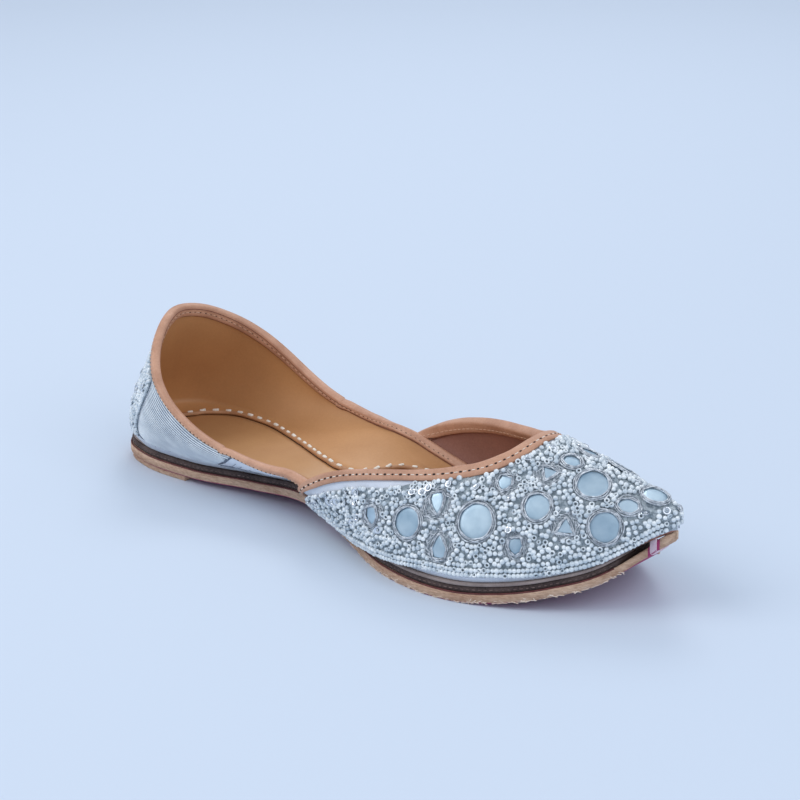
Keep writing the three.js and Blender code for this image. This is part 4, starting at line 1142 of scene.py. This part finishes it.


# Silver lines couched along the quarter over a darker sheet of painted shade between them, and the curved
# strokes that end them
lineLook = {"first": 2.5, "gap": 1.28, "radius": 0.35, "squash": 0.75, "lift": 0.2, "lines": 34, "step": 1.1,
            "endLow": 57, "endSlope": 20, "low": 0.9, "levels": 24, "stations": 60, "faces": (0.1, 0.03)}
strokeRows = table("fromX fromUp toX toUp", [
    (60, 0.05, 77, 0.72), (63, 0.04, 80, 0.68), (68, 0.05, 84, 0.62), (74, 0.06, 89, 0.58),
    (80, 0.08, 94, 0.52)])
lineStart = heelHalf + 0.5
lineShadeBands, lineTubes, strokeTubes = [], [], []
for side in (-1, 1):
    ups = np.linspace(0.03, 0.985, lineLook["levels"])
    ends = footEdge.distanceAt(lineLook["endLow"] + 1 + lineLook["endSlope"] * ups)
    ats = side * (lineStart + (ends - lineStart)[None] * np.linspace(0, 1, lineLook["stations"])[:, None])
    lineShadeBands.append(sheetRings(ats, ups[None] * reachOf(ats, quarterEdge), *lineLook["faces"]))
    run = side * np.arange(heelHalf + 0.9, footEdge.distanceAt(82), lineLook["step"])
    reach, length = reachOf(run, quarterEdge), ribLength(run)
    for k in range(lineLook["lines"]):
        up = reach - (lineLook["first"] + k * lineLook["gap"]) / length
        end = lineLook["endLow"] + lineLook["endSlope"] * up
        fine = (up * length > lineLook["low"]) & (footEdge.x(run) < end)
        for part in np.split(np.arange(len(run)), np.nonzero(np.diff(fine.astype(int)))[0] + 1):
            if len(part) > 4 and fine[part[0]]:
                path = offPoint(run[part], up[part], lineLook["lift"])
                lineTubes.append(tubeRings(path, lastNormal(run[part], up[part]), lineLook["radius"],
                                           squash=lineLook["squash"]))
    for x0, up0, x1, up1 in zip(*strokeRows.values()):
        share = np.linspace(0, 1, 14)
        run = side * footEdge.distanceAt(x0 + (x1 - x0) * share)
        up = up0 + (up1 - up0) * share ** 1.4
        strokeTubes.append(tubeRings(offPoint(run, up, tuckOf(run) + lineLook["lift"]), lastNormal(run, up),
                                     lineLook["radius"] * (1 - 0.6 * share), squash=lineLook["squash"]))
# the darker sheet under the lines is painted shade, not the satin's colour
ringsPiece("quarter_line_ground", lineShadeBands, "quarterLineShade", "satin")
ringsPiece("quarter_silver_lines", lineTubes, "couchedSilver", "satin")
ringsPiece("quarter_strokes", strokeTubes, "strokeThread", "satin")
print("quarter lines made")

# Stitches and pinholes along the bindings; a positive depth sinks them into the leather
seamDrop = (1.1 + 1.1 * nearThroat) * vampTaper
for name, line, inside, drop, depth, gap, ends, first, finish, size, seed in (
        ("vamp_binding_holes", vampLine, False, seamDrop, 0.04, 3.2, 6, 0, "pinhole", (1.05, 0.75, 0.24), 41),
        ("vamp_binding_stitches", vampLine, False, seamDrop, 0, 3.2, 6, 1.6, "cotton",
         (1.35, 0.32, 0.32), 42),
        ("vamp_binding_inner_stitches", vampLine, True, 2.2 * vampTaper, -0.02, 2.3, 8, 0, "bindingThread",
         (1.5, 0.34, 0.34), 43),
        ("quarter_binding_outer_stitches", quarterLine, False, 0.9, 0, 1.9, 8, 0, "bindingThread",
         (1.15, 0.34, 0.34), 44),
        ("quarter_binding_outer_holes", quarterLine, False, 0.95, 0.06, 1.9, 8, 0.95, "pinhole",
         (0.6, 0.44, 0.2), 45),
        ("quarter_binding_inner_stitches", quarterLine, True, 1.7, 0, 2.4, 8, 0, "bindingThread",
         (1.35, 0.32, 0.32), 46),
        ("quarter_binding_inner_holes", quarterLine, True, 1.7, 0.05, 2.4, 8, 1.2, "pinhole",
         (0.62, 0.4, 0.2), 47)):
    lift = depth - line.thick - bindingTop if inside else bindingTop - depth
    spots, normals = (values[ends:-ends] for values in line.leg(drop, lift))
    walk = walkOf(spots)
    places = np.arange(1.2 + first, walk[-1] - 1.2, gap)
    facing = unit(np.stack([np.interp(places, walk, normals[:, k]) for k in range(3)], -1)) * np.sign(lift)
    sprinkle(name, "binding_leather", *alongPath(spots, places, 0.3), facing, rod, finish, seed, 0.12,
             stretch=size)

# Painted shade: dark lines where the bindings' inner edges and the collar's crest fold
shadowLineLook = {"beyond": 0.12, "radius": 0.3, "crestDrop": 0.45, "crestRadius": 0.15, "crestEnd": 78}
shadowLineTubes = []
for line, width, ends in ((quarterLine, bindingLook["quarterIn"], 4), (vampLine, bindingLook["vampIn"], 8)):
    spots, normals = line.leg(width + shadowLineLook["beyond"], -line.thick - bindingLook["gap"])
    shadowLineTubes.append(tubeRings(spots[ends:-ends], normals[ends:-ends], shadowLineLook["radius"]))
backPart = footEdge.x(bindRun) < shadowLineLook["crestEnd"]
spots, normals = quarterLine.leg(shadowLineLook["crestDrop"], -quarterLine.thick - bindingTop)
shadowLineTubes.append(tubeRings(spots[backPart], normals[backPart], shadowLineLook["crestRadius"]))
ringsPiece("binding_fold_lines", shadowLineTubes, "foldShade", "binding_leather")
print("binding stitches made")

# The rolled margin round the insole with its cotton stitches; the near wing hides some of their places
rollLook = {"radius": 1.1, "squash": 0.8, "rise": 1.9, "end": 196, "gap": 5.2, "stitch": (2.4, 1.25, 0.9),
            "hidden": (60, 128)}
rollEnd = footEdge.distanceAt(rollLook["end"])
rollRun = np.linspace(-rollEnd, rollEnd, 340)
rollPath = onSole(footEdge.point(rollRun) - footEdge.outward(rollRun) * marginIn(rollRun)[:, None],
                  stackHeight + rollLook["rise"])
upward = np.array([0.0, 0.0, 1.0])
ringsPiece("margin_roll", [tubeRings(rollPath, upward[None], rollLook["radius"], 12, rollLook["squash"])],
           "marginLeather", "lining_leather")
rollWalk = walkOf(rollPath)
walk = np.arange(3.0, rollWalk[-1] - 3, rollLook["gap"])
runs = np.interp(walk, rollWalk, rollRun)
shown = (runs > 0) | (footEdge.x(runs) <= rollLook["hidden"][0]) | (footEdge.x(runs) >= rollLook["hidden"][1])
walk, runs = walk[shown], runs[shown]
spots, ahead = alongPath(rollPath, walk, 0.5)
sprinkle("margin_stitches", "lining_leather", spots + upward * rollLook["radius"] * rollLook["squash"], ahead,
         unit(withHeight(-footEdge.outward(runs) * 0.5, 1.0)), rod, "cotton", 51, 0.15,
         stretch=rollLook["stitch"])

# Sole stitching: a thin red line between the layers, and fine stitches in the dark band
seamLook = {"end": 236, "red": (0.35, 3.5), "redRadius": 0.3, "welt": (0.62, 4.8), "weltGap": 2.1,
            "stitch": (1.1, 0.36, 0.3)}    # red and welt: how far in and how high
seamEnd = soleEdge.distanceAt(seamLook["end"])
seamRun = np.linspace(-seamEnd, seamEnd, 420)


def roundSole(inset, high):
    return onSole(soleEdge.point(seamRun) - soleEdge.outward(seamRun) * inset, high)


redRings = tubeRings(roundSole(*seamLook["red"]), upward[None], seamLook["redRadius"])
ringsPiece("sole_thread", [redRings], "redThread", "dark_leather")
weltPath = roundSole(*seamLook["welt"])
weltWalk = walkOf(weltPath)
places = np.arange(1, weltWalk[-1] - 1, seamLook["weltGap"])
sprinkle("welt_stitches", "dark_leather", *alongPath(weltPath, places, 0.5),
         withHeight(soleEdge.outward(np.interp(places, weltWalk, seamRun)), 0.0), rod, "weltThread", 52, 0.25,
         stretch=seamLook["stitch"])

# Loose pale fibres along the outsole's lower edge
fibreLook = {"count": 420, "span": (120, 238), "length": 1.9, "width": 0.3, "lean": (0.35, 0.35, 0.21),
             "seed": 61}
chance, count = np.random.default_rng(fibreLook["seed"]), fibreLook["count"]
fibreRun = eitherSide(chance, *soleEdge.distanceAt(np.array(fibreLook["span"])), count)
fibreOut = soleEdge.outward(fibreRun)
fibrePlan = soleEdge.point(fibreRun) - fibreOut * chance.uniform(0.0, 0.25, (count, 1))
fibreHigh = 0.12 + 1.1 * chance.uniform(0, 1, count) ** 2
fibreAlong = withHeight(np.stack([-fibreOut[:, 1], fibreOut[:, 0]], -1), 0.0)
fibreLean = chance.normal(0, 1, (count, 3)) * fibreLook["lean"]
fibreSize = withHeight(np.stack([fibreLook["length"] * chance.uniform(0.4, 1.2, count),
                                 np.full(count, fibreLook["width"])], -1), fibreLook["width"])
sprinkle("outsole_fibres", "raw_leather", onSole(fibrePlan, fibreHigh), unit(fibreAlong + fibreLean),
         withHeight(fibreOut, 0.0), rod, "paleFibre", fibreLook["seed"], 0.2, stretch=fibreSize)

# Thread wrapped round the sole's tab
wrapLook = {"places": (243.9, 244.4, 244.9, 245.4, 245.9), "middle": 3.05, "tall": 3.15, "out": 0.15,
            "radius": 0.34, "corners": 32, "bend": 0.5}
turn = np.linspace(0, 2 * np.pi, wrapLook["corners"], endpoint=False)
across, rise = (np.sign(wave) * abs(wave) ** wrapLook["bend"] for wave in (np.cos(turn), np.sin(turn)))
wrapBands = []
for x in wrapLook["places"]:
    half = abs(soleEdge.aside(soleEdge.distanceAt(x))) + wrapLook["out"]
    path = np.stack([0 * turn + x, centreLine(x) + half * across,
                     soleLift(x) + wrapLook["middle"] + wrapLook["tall"] * rise], -1)
    wrapBands.append(tubeRings(path, np.array([[1.0, 0, 0]]), wrapLook["radius"], joined=True))
ringsPiece("toe_thread_wraps", wrapBands, "dyedThread", "raw_leather", ends="joined")
print("stitching made")


# Floor, light and camera
stageLook = {"half": 1.5, "floor": (205, 217, 232), "floorRough": 0.9, "world": (224, 233, 247),
             "strength": 0.75, "azimuth": 40, "elevation": 20, "distance": 0.9, "lens": 110.385, "sensor": 36,
             "target": (125, 0, 25), "nudge": (0.0035, 0.0196)}
floorMesh = bpy.data.meshes.new("floor")
half = stageLook["half"]
floorMesh.from_pydata([(-half, -half, 0), (half, -half, 0), (half, half, 0), (-half, half, 0)], [],
                      [(0, 1, 2, 3)])
floorFinish, floorShader = newMaterial("floorPaper")
floorShader.inputs["Base Color"].default_value = tint(*stageLook["floor"])
floorShader.inputs["Roughness"].default_value = stageLook["floorRough"]
floorMesh.materials.append(floorFinish)
floor = linked(floorMesh, "floor")
scene = bpy.context.scene
scene.view_settings.view_transform = "Standard"
scene.world = scene.world or bpy.data.worlds.new("studio")
scene.world.use_nodes = True
sky = scene.world.node_tree.nodes["Background"]
sky.inputs["Color"].default_value = tint(*stageLook["world"])
sky.inputs["Strength"].default_value = stageLook["strength"]
turn, tip = math.radians(stageLook["azimuth"]), math.radians(stageLook["elevation"])
back = Vector((math.sin(turn) * math.cos(tip), -math.cos(turn) * math.cos(tip), math.sin(tip)))
right = Vector((math.cos(turn), math.sin(turn), 0))
top = back.cross(right)
target = Vector(toFrame(stageLook["target"]).tolist())
for name, aside, high, away, size, energy, color in (
        # placed by the camera's right, the world's up and the camera's back
        ("key", -0.95, 1.0, 0.15, 1.0, 6.4, (1.0, 0.985, 0.965)),
        ("fill", 0.6, 0.8, 0.7, 1.1, 3.3, (0.95, 0.97, 1.0)),
        ("rim", 0.1, 0.9, -0.9, 0.6, 3, (1, 1, 1))):
    lamp = bpy.data.lights.new(name, "AREA")
    lamp.shape, lamp.size, lamp.energy, lamp.color = "DISK", size, energy, color
    holder = linked(lamp, name)
    flat = Vector((back.x, back.y, 0)).normalized()
    holder.location = target + right * aside + Vector((0, 0, high)) + flat * away
    holder.rotation_euler = (holder.location - target).to_track_quat("Z", "Y").to_euler()
lens = bpy.data.cameras.new("camera")
lens.lens, lens.sensor_width = stageLook["lens"], stageLook["sensor"]
camera = linked(lens, "camera")
eye = target + back * stageLook["distance"] + right * stageLook["nudge"][0] + top * stageLook["nudge"][1]
camera.matrix_world = Matrix.Translation(eye) @ Matrix((right, top, back)).transposed().to_4x4()
scene.camera = camera
print("stage set")

# The shapes go
for shape in (ball, donut, sequinCup, rod):
    bpy.data.objects.remove(shape)
